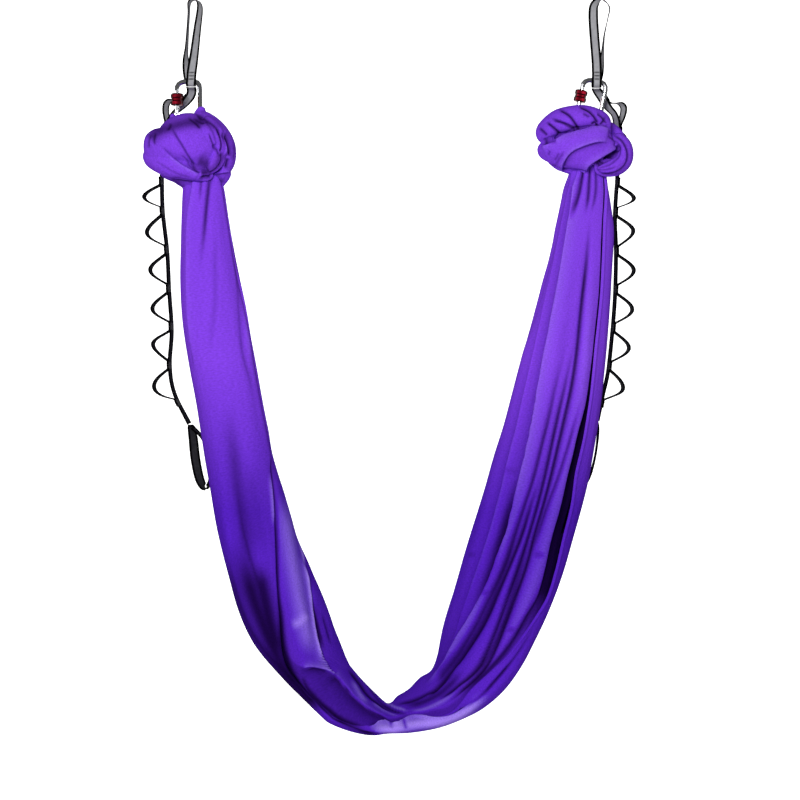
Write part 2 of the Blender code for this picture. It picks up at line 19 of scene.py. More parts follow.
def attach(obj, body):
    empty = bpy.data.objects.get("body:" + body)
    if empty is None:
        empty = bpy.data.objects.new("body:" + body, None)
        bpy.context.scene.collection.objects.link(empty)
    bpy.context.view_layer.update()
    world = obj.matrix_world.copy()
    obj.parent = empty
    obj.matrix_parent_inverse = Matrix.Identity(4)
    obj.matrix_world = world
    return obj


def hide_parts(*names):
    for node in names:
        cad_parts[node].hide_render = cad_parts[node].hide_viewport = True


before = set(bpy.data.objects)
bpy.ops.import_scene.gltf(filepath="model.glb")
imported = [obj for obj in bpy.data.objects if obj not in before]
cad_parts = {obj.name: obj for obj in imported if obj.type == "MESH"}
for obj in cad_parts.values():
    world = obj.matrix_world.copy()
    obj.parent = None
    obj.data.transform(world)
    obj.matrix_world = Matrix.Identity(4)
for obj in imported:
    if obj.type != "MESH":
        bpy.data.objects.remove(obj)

MM = 0.001
CAMERA_PLACE = (0.412, -5.0, -0.8)
# Index of refraction of nylon
NYLON_IOR = 1.53
# Scale of a wave texture whose bands are one unit apart
WAVE_UNIT = 0.314
log = logging.getLogger("hammock")

Point = tuple[float, ...]
Routes = Sequence[Point]


def linear(colour: str) -> tuple[float, float, float, float]:
    """Turn an sRGB hex colour into the linear one that shaders take.

    Args:
        colour: Six hex digits after a hash sign.

    Returns:
        Linear red, green, blue and an alpha of one.
    """
    channels = [int(colour[i : i + 2], 16) / 255 for i in (1, 3, 5)]
    curved = [c / 12.92 if c <= 0.04045 else ((c + 0.055) / 1.055) ** 2.4 for c in channels]
    return (curved[0], curved[1], curved[2], 1.0)


def add_node(
    tree: bpy.types.NodeTree,
    kind: str,
    settings: dict[str | int, Any] | None = None,
    links: dict[str | int, bpy.types.NodeSocket] | None = None,
) -> bpy.types.Node:
    """Add one node with its settings and its links.

    Args:
        tree: The node tree.
        kind: The node's type.
        settings: Values by the name of a node property, or the name or number of an input.
        links: Sockets to join, by the name or number of the input they feed.

    Returns:
        The new node.
    """
    node = tree.nodes.new(kind)
    for name, value in (settings or {}).items():
        if isinstance(name, int) or name in node.inputs:
            node.inputs[name].default_value = value
        else:
            setattr(node, name, value)
    for name, source in (links or {}).items():
        tree.links.new(source, node.inputs[name])
    return node


def new_finish(
    name: str, settings: dict[str, Any]
) -> tuple[bpy.types.Material, bpy.types.NodeTree, bpy.types.Node]:
    """Start a material.

    Args:
        name: The finish's name.
        settings: Values of the main shader's own sockets.

    Returns:
        The material, its node tree and its main shader.
    """
    material = bpy.data.materials.new(name)
    material.use_nodes = True
    shader = material.node_tree.nodes["Principled BSDF"]
    for socket, value in settings.items():
        shader.inputs[socket].default_value = value
    return material, material.node_tree, shader


def path_lengths(places: np.ndarray) -> np.ndarray:
    """Length of a path from its start to each of its places."""
    steps = np.linalg.norm(np.diff(places, axis=0), axis=1)
    return np.concatenate([[0.0], np.cumsum(steps)])


def columns_at(wanted: np.ndarray, known: np.ndarray, table: np.ndarray) -> np.ndarray:
    """Each column of a table, read between its rows at the wanted values."""
    return np.stack([np.interp(wanted, known, column) for column in table.T], axis=1)


def smooth_curve(points: Routes, per_span: int = 12) -> np.ndarray:
    """Dense places on the smooth curve through the given points.

    Args:
        points: Points of any number of entries.
        per_span: Steps between one point and the next.

    Returns:
        One row for each place.
    """
    given = np.array(points, float)
    padded = np.vstack([2 * given[0] - given[1], given, 2 * given[-1] - given[-2]])
    position = np.linspace(0, len(given) - 1, (len(given) - 1) * per_span + 1)
    span = np.minimum(position.astype(int), len(given) - 2)
    t = (position - span)[:, None]
    p0, p1, p2, p3 = (padded[span + i] for i in range(4))
    rise = (p2 - p0) * t + (2 * p0 - 5 * p1 + 4 * p2 - p3) * t**2
    return 0.5 * (2 * p1 + rise + (3 * p1 - p0 - 3 * p2 + p3) * t**3)


def spread(curve: np.ndarray, count: int, sized: int = 3) -> np.ndarray:
    """Places spread evenly by length along a dense curve.

    Args:
        curve: Dense places.
        count: Number of places wanted.
        sized: How many leading entries of a place are its position.

    Returns:
        The places, one in each row.
    """
    reach = path_lengths(curve[:, :sized])
    return columns_at(np.linspace(0, reach[-1], count), reach, curve)


def unit(vectors: np.ndarray) -> np.ndarray:
    """Vectors of length one in the same directions."""
    return vectors / np.maximum(np.linalg.norm(vectors, axis=-1, keepdims=True), 1e-12)


def directions(centres: np.ndarray, closed: bool = False) -> np.ndarray:
    """Unit direction of a path at each of its places."""
    if closed:
        return unit(np.roll(centres, -1, axis=0) - np.roll(centres, 1, axis=0))
    return unit(np.gradient(centres, axis=0))


def level_ways(degrees: np.ndarray) -> np.ndarray:
    """Level unit directions, turned from X by the given angles."""
    turn = np.radians(degrees)
    return np.stack([np.cos(turn), np.sin(turn), np.zeros(len(turn))], axis=1)


def smooth_step(value: np.ndarray) -> np.ndarray:
    """Ease from zero to one as the value goes from zero to one."""
    held = np.clip(value, 0.0, 1.0)
    return held * held * (3 - 2 * held)


def link_object(name: str, data: bpy.types.ID | None) -> bpy.types.Object:
    """Put an object with the given data into the scene, at the origin."""
    made = bpy.data.objects.new(name, data)
    bpy.context.scene.collection.objects.link(made)
    return made


def apply_modifiers(holder: bpy.types.Object) -> bpy.types.Mesh:
    """Plain mesh of an object as its modifiers shape it; the object itself is removed."""
    evaluated = holder.evaluated_get(bpy.context.evaluated_depsgraph_get())
    mesh = bpy.data.meshes.new_from_object(evaluated)
    bpy.data.objects.remove(holder, do_unlink=True)
    return mesh


def make_mesh(
    name: str,
    places: np.ndarray,
    faces: Sequence[Sequence[int]],
    material: bpy.types.Material,
    uvs: np.ndarray | None = None,
) -> bpy.types.Object:
    """Make a mesh object at the origin, with its places in metres.

    Args:
        name: The object's name.
        places: Vertex places in metres.
        faces: Vertex numbers of each face.
        material: The finish of all its faces.
        uvs: Pattern coordinates in metres, one for each face corner.

    Returns:
        The object, linked to the scene.
    """
    mesh = bpy.data.meshes.new(name)
    mesh.from_pydata([tuple(p) for p in places], [], faces)
    if uvs is not None:
        layer = mesh.uv_layers.new(name="UVMap")
        layer.data.foreach_set("uv", np.asarray(uvs, np.float32).ravel())
    mesh.materials.append(material)
    mesh.shade_smooth()
    return link_object(name, mesh)


def grid_faces(rows: int, columns: int, around: bool = False, along: bool = False) -> list[tuple[int, ...]]:
    """Quads of a grid of vertices that are numbered row by row.

    Args:
        rows: Number of rows.
        columns: Number of columns.
        around: Whether the last column joins the first.
        along: Whether the last row joins the first.

    Returns:
        Vertex numbers of each quad.
    """
    faces = []
    for i in range(rows if along else rows - 1):
        first, below = i * columns, (i + 1) % rows * columns
        for j in range(columns if around else columns - 1):
            beside = (j + 1) % columns
            faces.append((first + j, first + beside, below + beside, below + j))
    return faces


def turn_outwards(mesh: bpy.types.Mesh) -> None:
    """Make the faces of a closed shape point outwards."""
    shape = bmesh.new()
    shape.from_mesh(mesh)
    bmesh.ops.recalc_face_normals(shape, faces=shape.faces)
    shape.to_mesh(mesh)
    shape.free()


@dataclass(frozen=True)
class NylonTricot:
    """Warp-knitted nylon with a matt satin face: violet, with painted highlights on crests, painted shade in
    folds, and painted lighter above and darker below.

    The pattern lies on the cloth's own UV map, or on object places. The heights are in metres."""

    name: str
    on_uv: bool = True
    crease_mm: float = 9.0
    # Painted colours: lit above and deep below stand in for light falling from above; crest is a painted
    # highlight, folded a painted shade
    lit: str = "#7B3ED8"
    deep: str = "#4E1EB2"
    crest: str = "#AF90F6"
    folded: str = "#0D0222"
    roughness: float = 0.46
    wale_mm: float = 2.4
    grain_mm: float = 3.0
    crinkle_mm: float = 16.0
    mottle_scale: float = 18.0
    painted_shade_below: float = -1.02
    painted_light_above: float = -0.72
    slack_below: float = -0.95
    tight_above: float = -0.80

    def build(self) -> bpy.types.Material:
        """Make the material.

        Returns:
            The material.
        """
        # Knitted loops scatter the light, so the cloth has no mirror gloss of its own.
        settings = {"Roughness": self.roughness, "IOR": NYLON_IOR, "Specular IOR Level": 0.0}
        material, tree, shader = new_finish(self.name, settings)
        places = add_node(tree, "ShaderNodeTexCoord")
        source = places.outputs["UV"] if self.on_uv else places.outputs["Object"]
        stretch = (1.0, 0.12, 1.0) if self.on_uv else (1.0, 1.0, 0.5)
        lengthwise = add_node(tree, "ShaderNodeMapping", {"Scale": stretch}, {"Vector": source})
        height = add_node(tree, "ShaderNodeSeparateXYZ", links={0: places.outputs["Object"]})
        colour = self.colour_and_painted_light(tree, height.outputs["Z"], source, lengthwise.outputs["Vector"])
        tree.links.new(colour, shader.inputs["Base Color"])
        normal = self.surface(tree, height.outputs["Z"], source, lengthwise.outputs["Vector"])
        tree.links.new(normal, shader.inputs["Normal"])
        return material

    def colour_and_painted_light(
        self,
        tree: bpy.types.NodeTree,
        height: bpy.types.NodeSocket,
        source: bpy.types.NodeSocket,
        lengthwise: bpy.types.NodeSocket,
    ) -> bpy.types.NodeSocket:
        """Colour of the cloth, with painted light and shade.

        Args:
            tree: The material's nodes.
            height: Height of the place.
            source: Places that the pattern follows.
            lengthwise: The same places, stretched along the cloth.

        Returns:
            The colour.
        """
        # Painted light and shade by height: the colour runs from the shaded deep violet low down to the lit
        # violet higher up.
        limits = {"From Min": self.painted_shade_below, "From Max": self.painted_light_above, "To Min": 0.05, "To Max": 0.95}
        rise = add_node(tree, "ShaderNodeMapRange", limits, {"Value": height})
        clouds = {"Scale": self.mottle_scale, "Detail": 3.0}
        mottle = add_node(tree, "ShaderNodeTexNoise", clouds, {"Vector": lengthwise})
        sum_up = {"operation": "MULTIPLY_ADD", 1: 0.3, 2: -0.15}
        vary = add_node(tree, "ShaderNodeMath", sum_up, {0: mottle.outputs["Fac"]})
        share = add_node(
            tree,
            "ShaderNodeMath",
            {"operation": "ADD", "use_clamp": True},
            {0: rise.outputs["Result"], 1: vary.outputs[0]},
        )
        pair = {"data_type": "RGBA", 6: linear(self.deep), 7: linear(self.lit)}
        colour_with_painted_light = add_node(tree, "ShaderNodeMix", pair, {0: share.outputs[0]}).outputs[2]
        # Painted shade: deep in a fold the colour is mixed towards almost black; painted highlight: near a
        # crest it is mixed towards pale lilac.
        shade = add_node(tree, "ShaderNodeAttribute", {"attribute_name": "fold_shade"})
        for full, most, other in ((-1.0, 0.75, self.crest), (1.0, 0.96, self.folded)):
            limits = {"From Min": 0.0, "From Max": full, "To Max": most}
            part = add_node(tree, "ShaderNodeMapRange", limits, {"Value": shade.outputs["Fac"]})
            pair = {"data_type": "RGBA", 7: linear(other)}
            colour_with_painted_light = add_node(tree, "ShaderNodeMix", pair, {0: part.outputs["Result"], 6: colour_with_painted_light}).outputs[2]
        # The knit is too fine to show, so its grain is drawn as coarse speckles.
        dots = {"Scale": 1 / (self.grain_mm * MM), "Detail": 2.0}
        grain = add_node(tree, "ShaderNodeTexNoise", dots, {"Vector": source})
        limits = {"From Min": 0.3, "From Max": 0.7, "To Min": 0.86, "To Max": 1.14}
        speckle = add_node(tree, "ShaderNodeMapRange", limits, {"Value": grain.outputs["Fac"]})
        scaled = {0: colour_with_painted_light, "Scale": speckle.outputs["Result"]}
        spotted = add_node(tree, "ShaderNodeVectorMath", {"operation": "SCALE"}, scaled)
        return spotted.outputs[0]

    def surface(
        self,
        tree: bpy.types.NodeTree,
        height: bpy.types.NodeSocket,
        source: bpy.types.NodeSocket,
        lengthwise: bpy.types.NodeSocket,
    ) -> bpy.types.NodeSocket:
        """Fine relief of the cloth: wales, crinkles and long creases.

        Args:
            tree: The material's nodes.
            height: Height of the place.
            source: Places that the pattern follows.
            lengthwise: The same places, stretched along the cloth.

        Returns:
            The bent normal.
        """
        folded = {"Scale": 1 / (self.crease_mm * MM), "Detail": 4.0, "Roughness": 0.55, "Distortion": 0.4}
        creases = add_node(tree, "ShaderNodeTexNoise", folded, {"Vector": lengthwise})
        # A wale of this knit is under a millimetre wide; it is drawn coarser so that it shows.
        rows = {"bands_direction": "X", "Scale": WAVE_UNIT / (self.wale_mm * MM), "Distortion": 0.6}
        wales = add_node(tree, "ShaderNodeTexWave", rows, {"Vector": source})
        low = {"Strength": 0.12, "Distance": 0.0004}
        knit = add_node(tree, "ShaderNodeBump", low, {"Height": wales.outputs["Fac"]})
        # Slack cloth low down keeps small crinkles that the tight stretches above have pulled out.
        rucks = {"Scale": 1 / (self.crinkle_mm * MM), "Detail": 3.0, "Distortion": 1.6}
        crinkle = add_node(tree, "ShaderNodeTexNoise", rucks, {"Vector": source})
        limits = {"From Min": self.slack_below, "From Max": self.tight_above, "To Min": 0.55, "To Max": 0.12}
        slack = add_node(tree, "ShaderNodeMapRange", limits, {"Value": height})
        crinkled = add_node(
            tree,
            "ShaderNodeBump",
            {"Distance": 0.003},
            {
                "Strength": slack.outputs["Result"],
                "Height": crinkle.outputs["Fac"],
                "Normal": knit.outputs["Normal"],
            },
        )
        return add_node(
            tree,
            "ShaderNodeBump",
            {"Strength": 0.32, "Distance": 0.0022},
            {"Height": creases.outputs["Fac"], "Normal": crinkled.outputs["Normal"]},
        ).outputs["Normal"]


@dataclass(frozen=True)
class NylonWebbing:
    """Black nylon webbing, woven flat with a rounded, denser edge.

    Its ribbed face is painted grey, a painted sheen on the black webbing."""

    name: str
    # The grey face and its paler patches are painted sheen; the edge is the webbing's own black
    face: str = "#86868A"
    worn: str = "#ACACB0"
    edge: str = "#040405"
    width_mm: float = 20.0
    pick_mm: float = 2.2
    rib_mm: float = 1.6
    border_from: float = 0.25
    border_to: float = 0.30

    def build(self) -> bpy.types.Material:
        """Make the material; U runs across the strap and V along it, both in metres.

        Returns:
            The material.
        """
        settings = {"Roughness": 0.38, "IOR": NYLON_IOR, "Specular IOR Level": 0.0}
        material, tree, shader = new_finish(self.name, settings)
        places = add_node(tree, "ShaderNodeTexCoord")
        split = add_node(tree, "ShaderNodeSeparateXYZ", links={0: places.outputs["UV"]})
        across = add_node(tree, "ShaderNodeMath", {"operation": "ABSOLUTE"}, {0: split.outputs["X"]})
        width = self.width_mm * MM
        limits = {"From Min": self.border_from * width, "From Max": self.border_to * width}
        border = add_node(tree, "ShaderNodeMapRange", limits, {"Value": across.outputs[0]})
        patchy_sheen = add_node(
            tree, "ShaderNodeTexNoise", {"Scale": 160.0, "Detail": 3.0}, {"Vector": places.outputs["Object"]}
        )
        # Painted sheen: the face is painted grey in paler patches; the border keeps the webbing's black
        pair = {"data_type": "RGBA", 6: linear(self.face), 7: linear(self.worn)}
        face = add_node(tree, "ShaderNodeMix", pair, {0: patchy_sheen.outputs["Fac"]})
        rim = {"data_type": "RGBA", 7: linear(self.edge)}
        colour = add_node(tree, "ShaderNodeMix", rim, {0: border.outputs["Result"], 6: face.outputs[2]})
        tree.links.new(colour.outputs[2], shader.inputs["Base Color"])
        rows = {"bands_direction": "Y", "Distortion": 1.2, "Detail": 1.0}
        rows["Scale"] = WAVE_UNIT / (self.pick_mm * MM)
        picks = add_node(tree, "ShaderNodeTexWave", rows, {"Vector": places.outputs["UV"]})
        rows = {"bands_direction": "X", "Scale": WAVE_UNIT / (self.rib_mm * MM)}
        ribs = add_node(tree, "ShaderNodeTexWave", rows, {"Vector": places.outputs["UV"]})
        weave = add_node(
            tree, "ShaderNodeMath", {"operation": "ADD"}, {0: picks.outputs["Fac"], 1: ribs.outputs["Fac"]}
        )
        low = {"Strength": 0.45, "Distance": 0.0004}
        bump = add_node(tree, "ShaderNodeBump", low, {"Height": weave.outputs[0]})
        tree.links.new(bump.outputs["Normal"], shader.inputs["Normal"])
        return material


@dataclass(frozen=True)
class SewingThread:
    """Bonded polyester thread of the bar tacks, a little paler than the webbing's edge."""

    name: str = "bonded_polyester_thread"
    dark: str = "#141416"
    pale: str = "#3A3A3E"

    def build(self) -> bpy.types.Material:
        """Make the material.

        Returns:
            The material.
        """
        material, tree, shader = new_finish(self.name, {"Roughness": 0.42})
        places = add_node(tree, "ShaderNodeTexCoord")
        fibre = add_node(
            tree, "ShaderNodeTexNoise", {"Scale": 900.0, "Detail": 2.0}, {"Vector": places.outputs["Object"]}
        )
        pair = {"data_type": "RGBA", 6: linear(self.dark), 7: linear(self.pale)}
        colour = add_node(tree, "ShaderNodeMix", pair, {0: fibre.outputs["Fac"]})
        tree.links.new(colour.outputs[2], shader.inputs["Base Color"])
        return material


@dataclass(frozen=True)
class PolishedMetal:
    """Bright metal with faint scratches and handling marks."""

    name: str
    colour: str
    worn: str
    roughness: float
    mark_mm: float = 8.0
    scratch_mm: float = 1.2

    def build(self) -> bpy.types.Material:
        """Make the material on object places.

        Returns:
            The material.
        """
        material, tree, shader = new_finish(self.name, {"Metallic": 1.0})
        places = add_node(tree, "ShaderNodeTexCoord").outputs["Object"]
        blots = {"Scale": 1 / (self.mark_mm * MM), "Detail": 5.0, "Roughness": 0.6}
        marks = add_node(tree, "ShaderNodeTexNoise", blots, {"Vector": places})
        pair = {"data_type": "RGBA", 6: linear(self.colour), 7: linear(self.worn)}
        colour = add_node(tree, "ShaderNodeMix", pair, {0: marks.outputs["Fac"]})
        tree.links.new(colour.outputs[2], shader.inputs["Base Color"])
        limits = {"To Min": 0.7 * self.roughness, "To Max": 1.5 * self.roughness}
        dull = add_node(tree, "ShaderNodeMapRange", limits, {"Value": marks.outputs["Fac"]})
        tree.links.new(dull.outputs["Result"], shader.inputs["Roughness"])
        fine = {"Scale": 1 / (self.scratch_mm * MM), "Detail": 2.0}
        scratch = add_node(tree, "ShaderNodeTexNoise", fine, {"Vector": places})
        low = {"Strength": 0.05, "Distance": 0.0003}
        bump = add_node(tree, "ShaderNodeBump", low, {"Height": scratch.outputs["Fac"]})
        tree.links.new(bump.outputs["Normal"], shader.inputs["Normal"])
        return material


# Routes of the webbing in millimetres: places, and the turn of the width from X in degrees
LEFT_LOOP = (
    (0, 0, 0.9, 72), (9.5, -2, -5, 68), (12, -4, -20, 58), (7, -6, -60, 46), (1, -7, -110, 30),
    (-4, -7.6, -146, 6), (-5, -7.4, -160, 0), (-6, -5.6, -167.4, 0), (-6, -2.6, -171.2, 0),
    (-6, 0, -172.2, 0), (-6, 2.6, -171.2, 0), (-7, 5.6, -167.4, 0), (-10, 7.4, -160, 0),
    (-13, 8.2, -146, 12), (-17, 7, -118, 58), (-15, 6, -90, 78), (-11, 4, -30, 84), (-9.5, 2, -5, 76),
)
LEFT_UPPER = (
    (-6, 0.5, -174.6, 0), (-6, 8, -175.4, 0), (-6, 17, -179, 0), (-10, 25, -190, 12), (-26, 30, -208, 34),
    (-42, 36, -222, 50), (-54, 48, -240, 52), (-60, 64, -266, 40), (-62, 70, -296, 34),
    (-65.5, 64, -312, 54), (-68.8, 52.6, -331, 70), (-69, 50.8, -343.2, 72),
)
LEFT_TAIL = (
    (-69, 50.7, -344.8, 72), (-69, 50.2, -356, 72), (-67, 48, -420, 72), (-58, 47, -500, 72),
    (-54, 47, -580, 72), (-49, 48, -660, 72), (-53, 50, -730, 72), (-44, 52, -786, 72), (-14, 54, -848, 66),
)
LEFT_END_LOOP = (
    (-11, 54, -854, 60), (-6, 50, -876, 24), (-1, 49, -920, 10), (8, 52, -962, 26), (20, 57, -978, 60),
    (28, 60, -956, 80), (25, 61, -920, 84), (14, 60, -880, 74), (-6, 57, -857, 62),
)
RIGHT_LOOP = (
    (816, 0, 0.9, 58), (801, -4, -10, 30), (798, -6, -30, 8), (800, -7, -70, 4), (804, -7.4, -120, 2),
    (805, -7.8, -146, 0), (805, -7.8, -160, 0), (805, -6.2, -169, 0), (805, -2.8, -173.6, 0),
    (805, 0, -174.8, 0), (805, 2.8, -173.6, 0), (805, 6.6, -169, 0), (806, 9.6, -160, 0),
    (811, 9.8, -144, 20), (817, 7, -110, 66), (821, 5, -70, 82), (828, 3, -36, 88), (831, 1, -14, 86),
)
RIGHT_UPPER = (
    (805, 0.5, -177.2, 0), (806, 8, -178, 0), (809, 17, -181, 0), (817, 25, -191, -12), (830, 30, -210, -34),
    (844, 34, -226, -50), (850, 48, -246, -52), (850, 62, -272, -44), (849, 64, -300, -40),
    (849.5, 61, -314, -52), (851, 52.2, -331, -70), (851, 50.8, -343.2, -72),
)
RIGHT_TAIL = (
    (851, 50.7, -346.4, -72), (850.6, 50.2, -356, -72), (846, 48, -430, -72), (848, 47, -500, -72),
    (846, 47, -590, -72), (840, 48, -670, -72), (832, 50, -744, -72), (822, 52, -790, -72),
    (812, 55, -842, -76),
)
RIGHT_END_LOOP = (
    (811, 55, -848, -78), (812, 52, -870, -82), (806, 51, -915, -84), (796, 53, -952, -80),
    (786, 58, -968, -80), (779, 62, -950, -80), (783, 64, -915, -80), (796, 62, -875, -80),
    (806.5, 57.5, -851, -78),
)

# Sections of the hanging cloth: outer edge (x, z), inner edge (x, z) as seen, and depth along Y
CLOTH_STATIONS = (
    (-12, -346, 44, -346, 54), (-20, -373.4, 54, -373.4, 66), (-26, -530, 88, -536, 96),
    (-10, -718, 123, -712, 110), (32, -982, 170, -948, 128), (98, -1234, 256, -1184, 150),
    (192, -1368, 316, -1324, 180), (312, -1464, 364, -1390, 230), (388, -1467, 388, -1408, 262),
    (476, -1458, 432, -1374, 236), (564, -1418, 480, -1328, 196), (692, -1244, 516, -1194, 156),
    (772, -1020, 576, -988, 134), (816, -750, 644, -752, 116), (836, -530, 704, -550, 98),
    (826, -358.4, 748, -358.4, 64), (820, -332, 752, -332, 56),
)
# Outer edge of the cloth, as seen
OUTER_EDGE = (
    (-16, -344), (-22, -376), (-26, -492), (-27, -565), (-23, -645), (-10, -733), (5, -814), (21, -916),
    (32, -976), (47, -1061), (71, -1157), (88, -1218), (110, -1270), (136, -1310), (182, -1362),
    (214, -1394), (255, -1434), (273, -1448), (316, -1464), (358, -1471), (394, -1466), (432, -1466),
    (485, -1457), (535, -1439), (578, -1417), (621, -1380), (656, -1332), (683, -1280), (710, -1222),
    (736, -1154), (758, -1078), (785, -980), (800, -900), (815, -800), (825, -702), (832, -618), (836, -552),
    (840, -470), (836, -426), (825, -360), (820, -330),
)
# Inner edge
INNER_EDGE = (
    (48, -344), (59, -372), (69, -431), (79, -492), (96, -580), (110, -656), (122, -718), (139, -810),
    (149, -860), (158, -912), (181, -988), (202, -1065), (232, -1133), (263, -1206), (287, -1270),
    (307, -1322), (317, -1338), (342, -1366), (364, -1387), (388, -1406), (408, -1391), (430, -1377),
    (452, -1355), (479, -1331), (500, -1246), (519, -1182), (545, -1093), (580, -980), (598, -917),
    (623, -836), (652, -726), (677, -638), (696, -565), (712, -504), (724, -446), (739, -378), (747, -356),
    (754, -330),
)
# Free hem over the front
HEM_LINE = (
    (45, -344), (56, -372), (66, -430), (76, -492), (93, -580), (107, -656), (119, -718), (136, -810),
    (146, -860), (153, -896), (157, -924), (159, -952), (162, -984), (164, -1016), (166, -1080),
    (168, -1150), (171, -1194), (175, -1234), (179, -1280), (181, -1310), (187, -1336), (198, -1362),
    (232, -1398), (268, -1425), (312, -1442), (358, -1449), (374, -1438), (392, -1446), (405, -1446),
    (418, -1441), (436, -1433), (460, -1433), (492, -1429), (516, -1420), (534, -1402), (554, -1376),
    (588, -1344), (623, -1312), (653, -1276), (679, -1239), (706, -1194), (723, -1140), (732, -1102),
    (739, -1072), (754, -1012), (762, -950), (770, -914), (779, -874), (787, -824), (792, -790), (797, -744),
    (801, -700), (806, -656), (811, -610), (814, -574), (817, -510), (819, -440), (821, -400), (821, -360),
    (817, -330),
)
# Edge of the deep fold beside the hem
DEEP_FOLD = (
    (46, -344), (58, -372), (67, -430), (77, -492), (94, -580), (108, -656), (121, -718), (137, -810),
    (147, -860), (155, -896), (158, -924), (161, -952), (164, -984), (166, -1016), (168, -1080),
    (170, -1150), (172, -1194), (177, -1234), (181, -1276), (186, -1300), (198, -1322), (218, -1334),
    (242, -1337), (266, -1343), (289, -1354), (309, -1380), (329, -1400), (358, -1422), (392, -1433),
    (432, -1424), (472, -1418), (504, -1411), (529, -1392), (548, -1370), (580, -1342), (612, -1310),
    (640, -1276), (664, -1232), (687, -1194), (702, -1140), (710, -1102), (717, -1072), (734, -1012),
    (747, -954), (758, -910), (769, -860), (781, -816), (787, -784), (793, -740), (798, -700), (803, -656),
    (808, -610), (811, -574), (814, -510), (817, -440), (819, -400), (819, -360), (815, -330),
)


class FoldKind(Enum):
    """Shape of a fold across its line."""

    CREASE = "sharp valley"
    HOLLOW = "broad valley"
    SWELL = "broad ridge"
    LAP = "one side folded over the other"


@dataclass(frozen=True)
class Fold:
    """One fold of the cloth's front, as seen, listed from the left knot towards the right one.

    The height, width and reach are in millimetres. A lap's covering side is the inner side of its
    line where the height is positive, and the outer side where it is negative; its shadow and its
    bright edge die away over the reach. The fades are the shares of the line over which the fold
    grows at its start and dies away at its end."""

    kind: FoldKind
    height: float
    width: float
    fade: tuple[float, float]
    # dark and pale: how strongly painted shade and a painted highlight are mixed into the colour
    dark: float
    pale: float
    reach: float
    points: Routes

    def measure(self, seen: np.ndarray) -> tuple[np.ndarray, np.ndarray]:
        """Signed distance to the line, positive on its inner side, and how strong the fold is there.

        Args:
            seen: Places as seen, (count, 2) in millimetres.

        Returns:
            The distances in millimetres, and strengths from zero to one.
        """
        line = spread(smooth_curve(self.points, 6), 3 * len(self.points), 2)
        start, step = line[:-1], np.diff(line, axis=0)
        length = np.sum(step * step, axis=1)
        offset = seen[:, None, :] - start[None]
        part = np.clip(np.sum(offset * step[None], axis=2) / length[None], 0.0, 1.0)
        gap = offset - part[:, :, None] * step[None]
        away = np.linalg.norm(gap, axis=2)
        nearest = np.argmin(away, axis=1)
        rows = np.arange(len(seen))
        along = (nearest + part[rows, nearest]) / len(step)
        picked = step[nearest]
        side = np.sign(picked[:, 0] * offset[rows, nearest, 1] - picked[:, 1] * offset[rows, nearest, 0])
        rising, falling = (max(share, 1e-6) for share in self.fade)
        strength = smooth_step(along / rising) * smooth_step((1 - along) / falling)
        return side * away[rows, nearest], strength

    def relief(self, seen: np.ndarray) -> np.ndarray:
        """Shape and shade of the fold at places as seen.

        Args:
            seen: Places as seen, (count, 2) in millimetres.

        Returns:
            Columns of lift off the base and slip to the inner side, in millimetres, then its
            painted shade and the painted highlight of its crest, from zero to one.
        """
        away, strength = self.measure(seen)
        share = away / self.width
        slip = np.zeros_like(away)
        crest = np.zeros_like(away)
        if self.kind is FoldKind.LAP:
            turn = 2 * share / (1 + share * share)
            lift = self.height * turn
            slip = -0.45 * abs(self.height) * turn * np.exp(-0.12 * share * share)
            # Painted shadow on the covered side of a lap, and a painted highlight along its covering edge
            over = away * math.copysign(1.0, self.height)
            shade = np.exp(np.minimum(over, 0) / self.reach) * (1 - smooth_step((over + 0.6) / 1.6))
            crest = np.exp(-np.maximum(over, 0) / self.reach) * smooth_step((over + 0.2) / 1.6)
        elif self.kind is FoldKind.CREASE:
            lift = -self.height * sharp_valley(share)
            shade = np.exp(-share * share)
        else:
            shade = crest = np.exp(-share * share)
            lift = self.height * crest * (1 if self.kind is FoldKind.SWELL else -1)
        return np.stack([lift, slip, self.dark * shade, self.pale * crest], axis=1) * strength[:, None]


def sharp_valley(share: np.ndarray) -> np.ndarray:
    """Depth across a crease, one at its line; the share is the distance over the width."""
    return np.exp(0.35 - np.sqrt(share * share + 0.1225))


def crease(height: float, width: float, fade: tuple[float, float], dark: float, *line: Point) -> Fold:
    """Fold whose line is a sharp valley."""
    return Fold(FoldKind.CREASE, height, width, fade, dark, 0.0, 0.0, line)


def hollow(height: float, width: float, fade: tuple[float, float], dark: float, *line: Point) -> Fold:
    """Fold whose line is a broad valley."""
    return Fold(FoldKind.HOLLOW, height, width, fade, dark, 0.0, 0.0, line)


def swell(height: float, width: float, fade: tuple[float, float], pale: float, *line: Point) -> Fold:
    """Fold whose line is a broad ridge."""
    return Fold(FoldKind.SWELL, height, width, fade, 0.0, pale, 0.0, line)


def lap(
    height: float,
    width: float,
    fade: tuple[float, float],
    dark: float,
    pale: float,
    reach: float,
    *line: Point,
) -> Fold:
    """Fold that covers one side of its line."""
    return Fold(FoldKind.LAP, height, width, fade, dark, pale, reach, line)


def press(folds: Sequence[Fold], seen: np.ndarray) -> np.ndarray:
    """All the folds together at places as seen: lift, slip, painted shade and painted highlight.

    Args:
        folds: The folds.
        seen: Places as seen, (count, 2) in millimetres.

    Returns:
        The four columns of Fold.relief, the first two added up and the others joined.
    """
    total = np.zeros((len(seen), 4))
    for fold in folds:
        found = fold.relief(seen)
        total[:, :2] += found[:, :2]
        total[:, 2:] = 1 - (1 - total[:, 2:]) * (1 - found[:, 2:])
    return total


def write_shade(mesh: bpy.types.Mesh, deep: np.ndarray, crest: np.ndarray) -> None:
    """Keep on each vertex its painted shade, less its painted highlight."""
    layer = mesh.attributes.new("fold_shade", "FLOAT", "POINT")
    layer.data.foreach_set("value", np.clip(deep - crest, -1.0, 1.0).astype(np.float32))
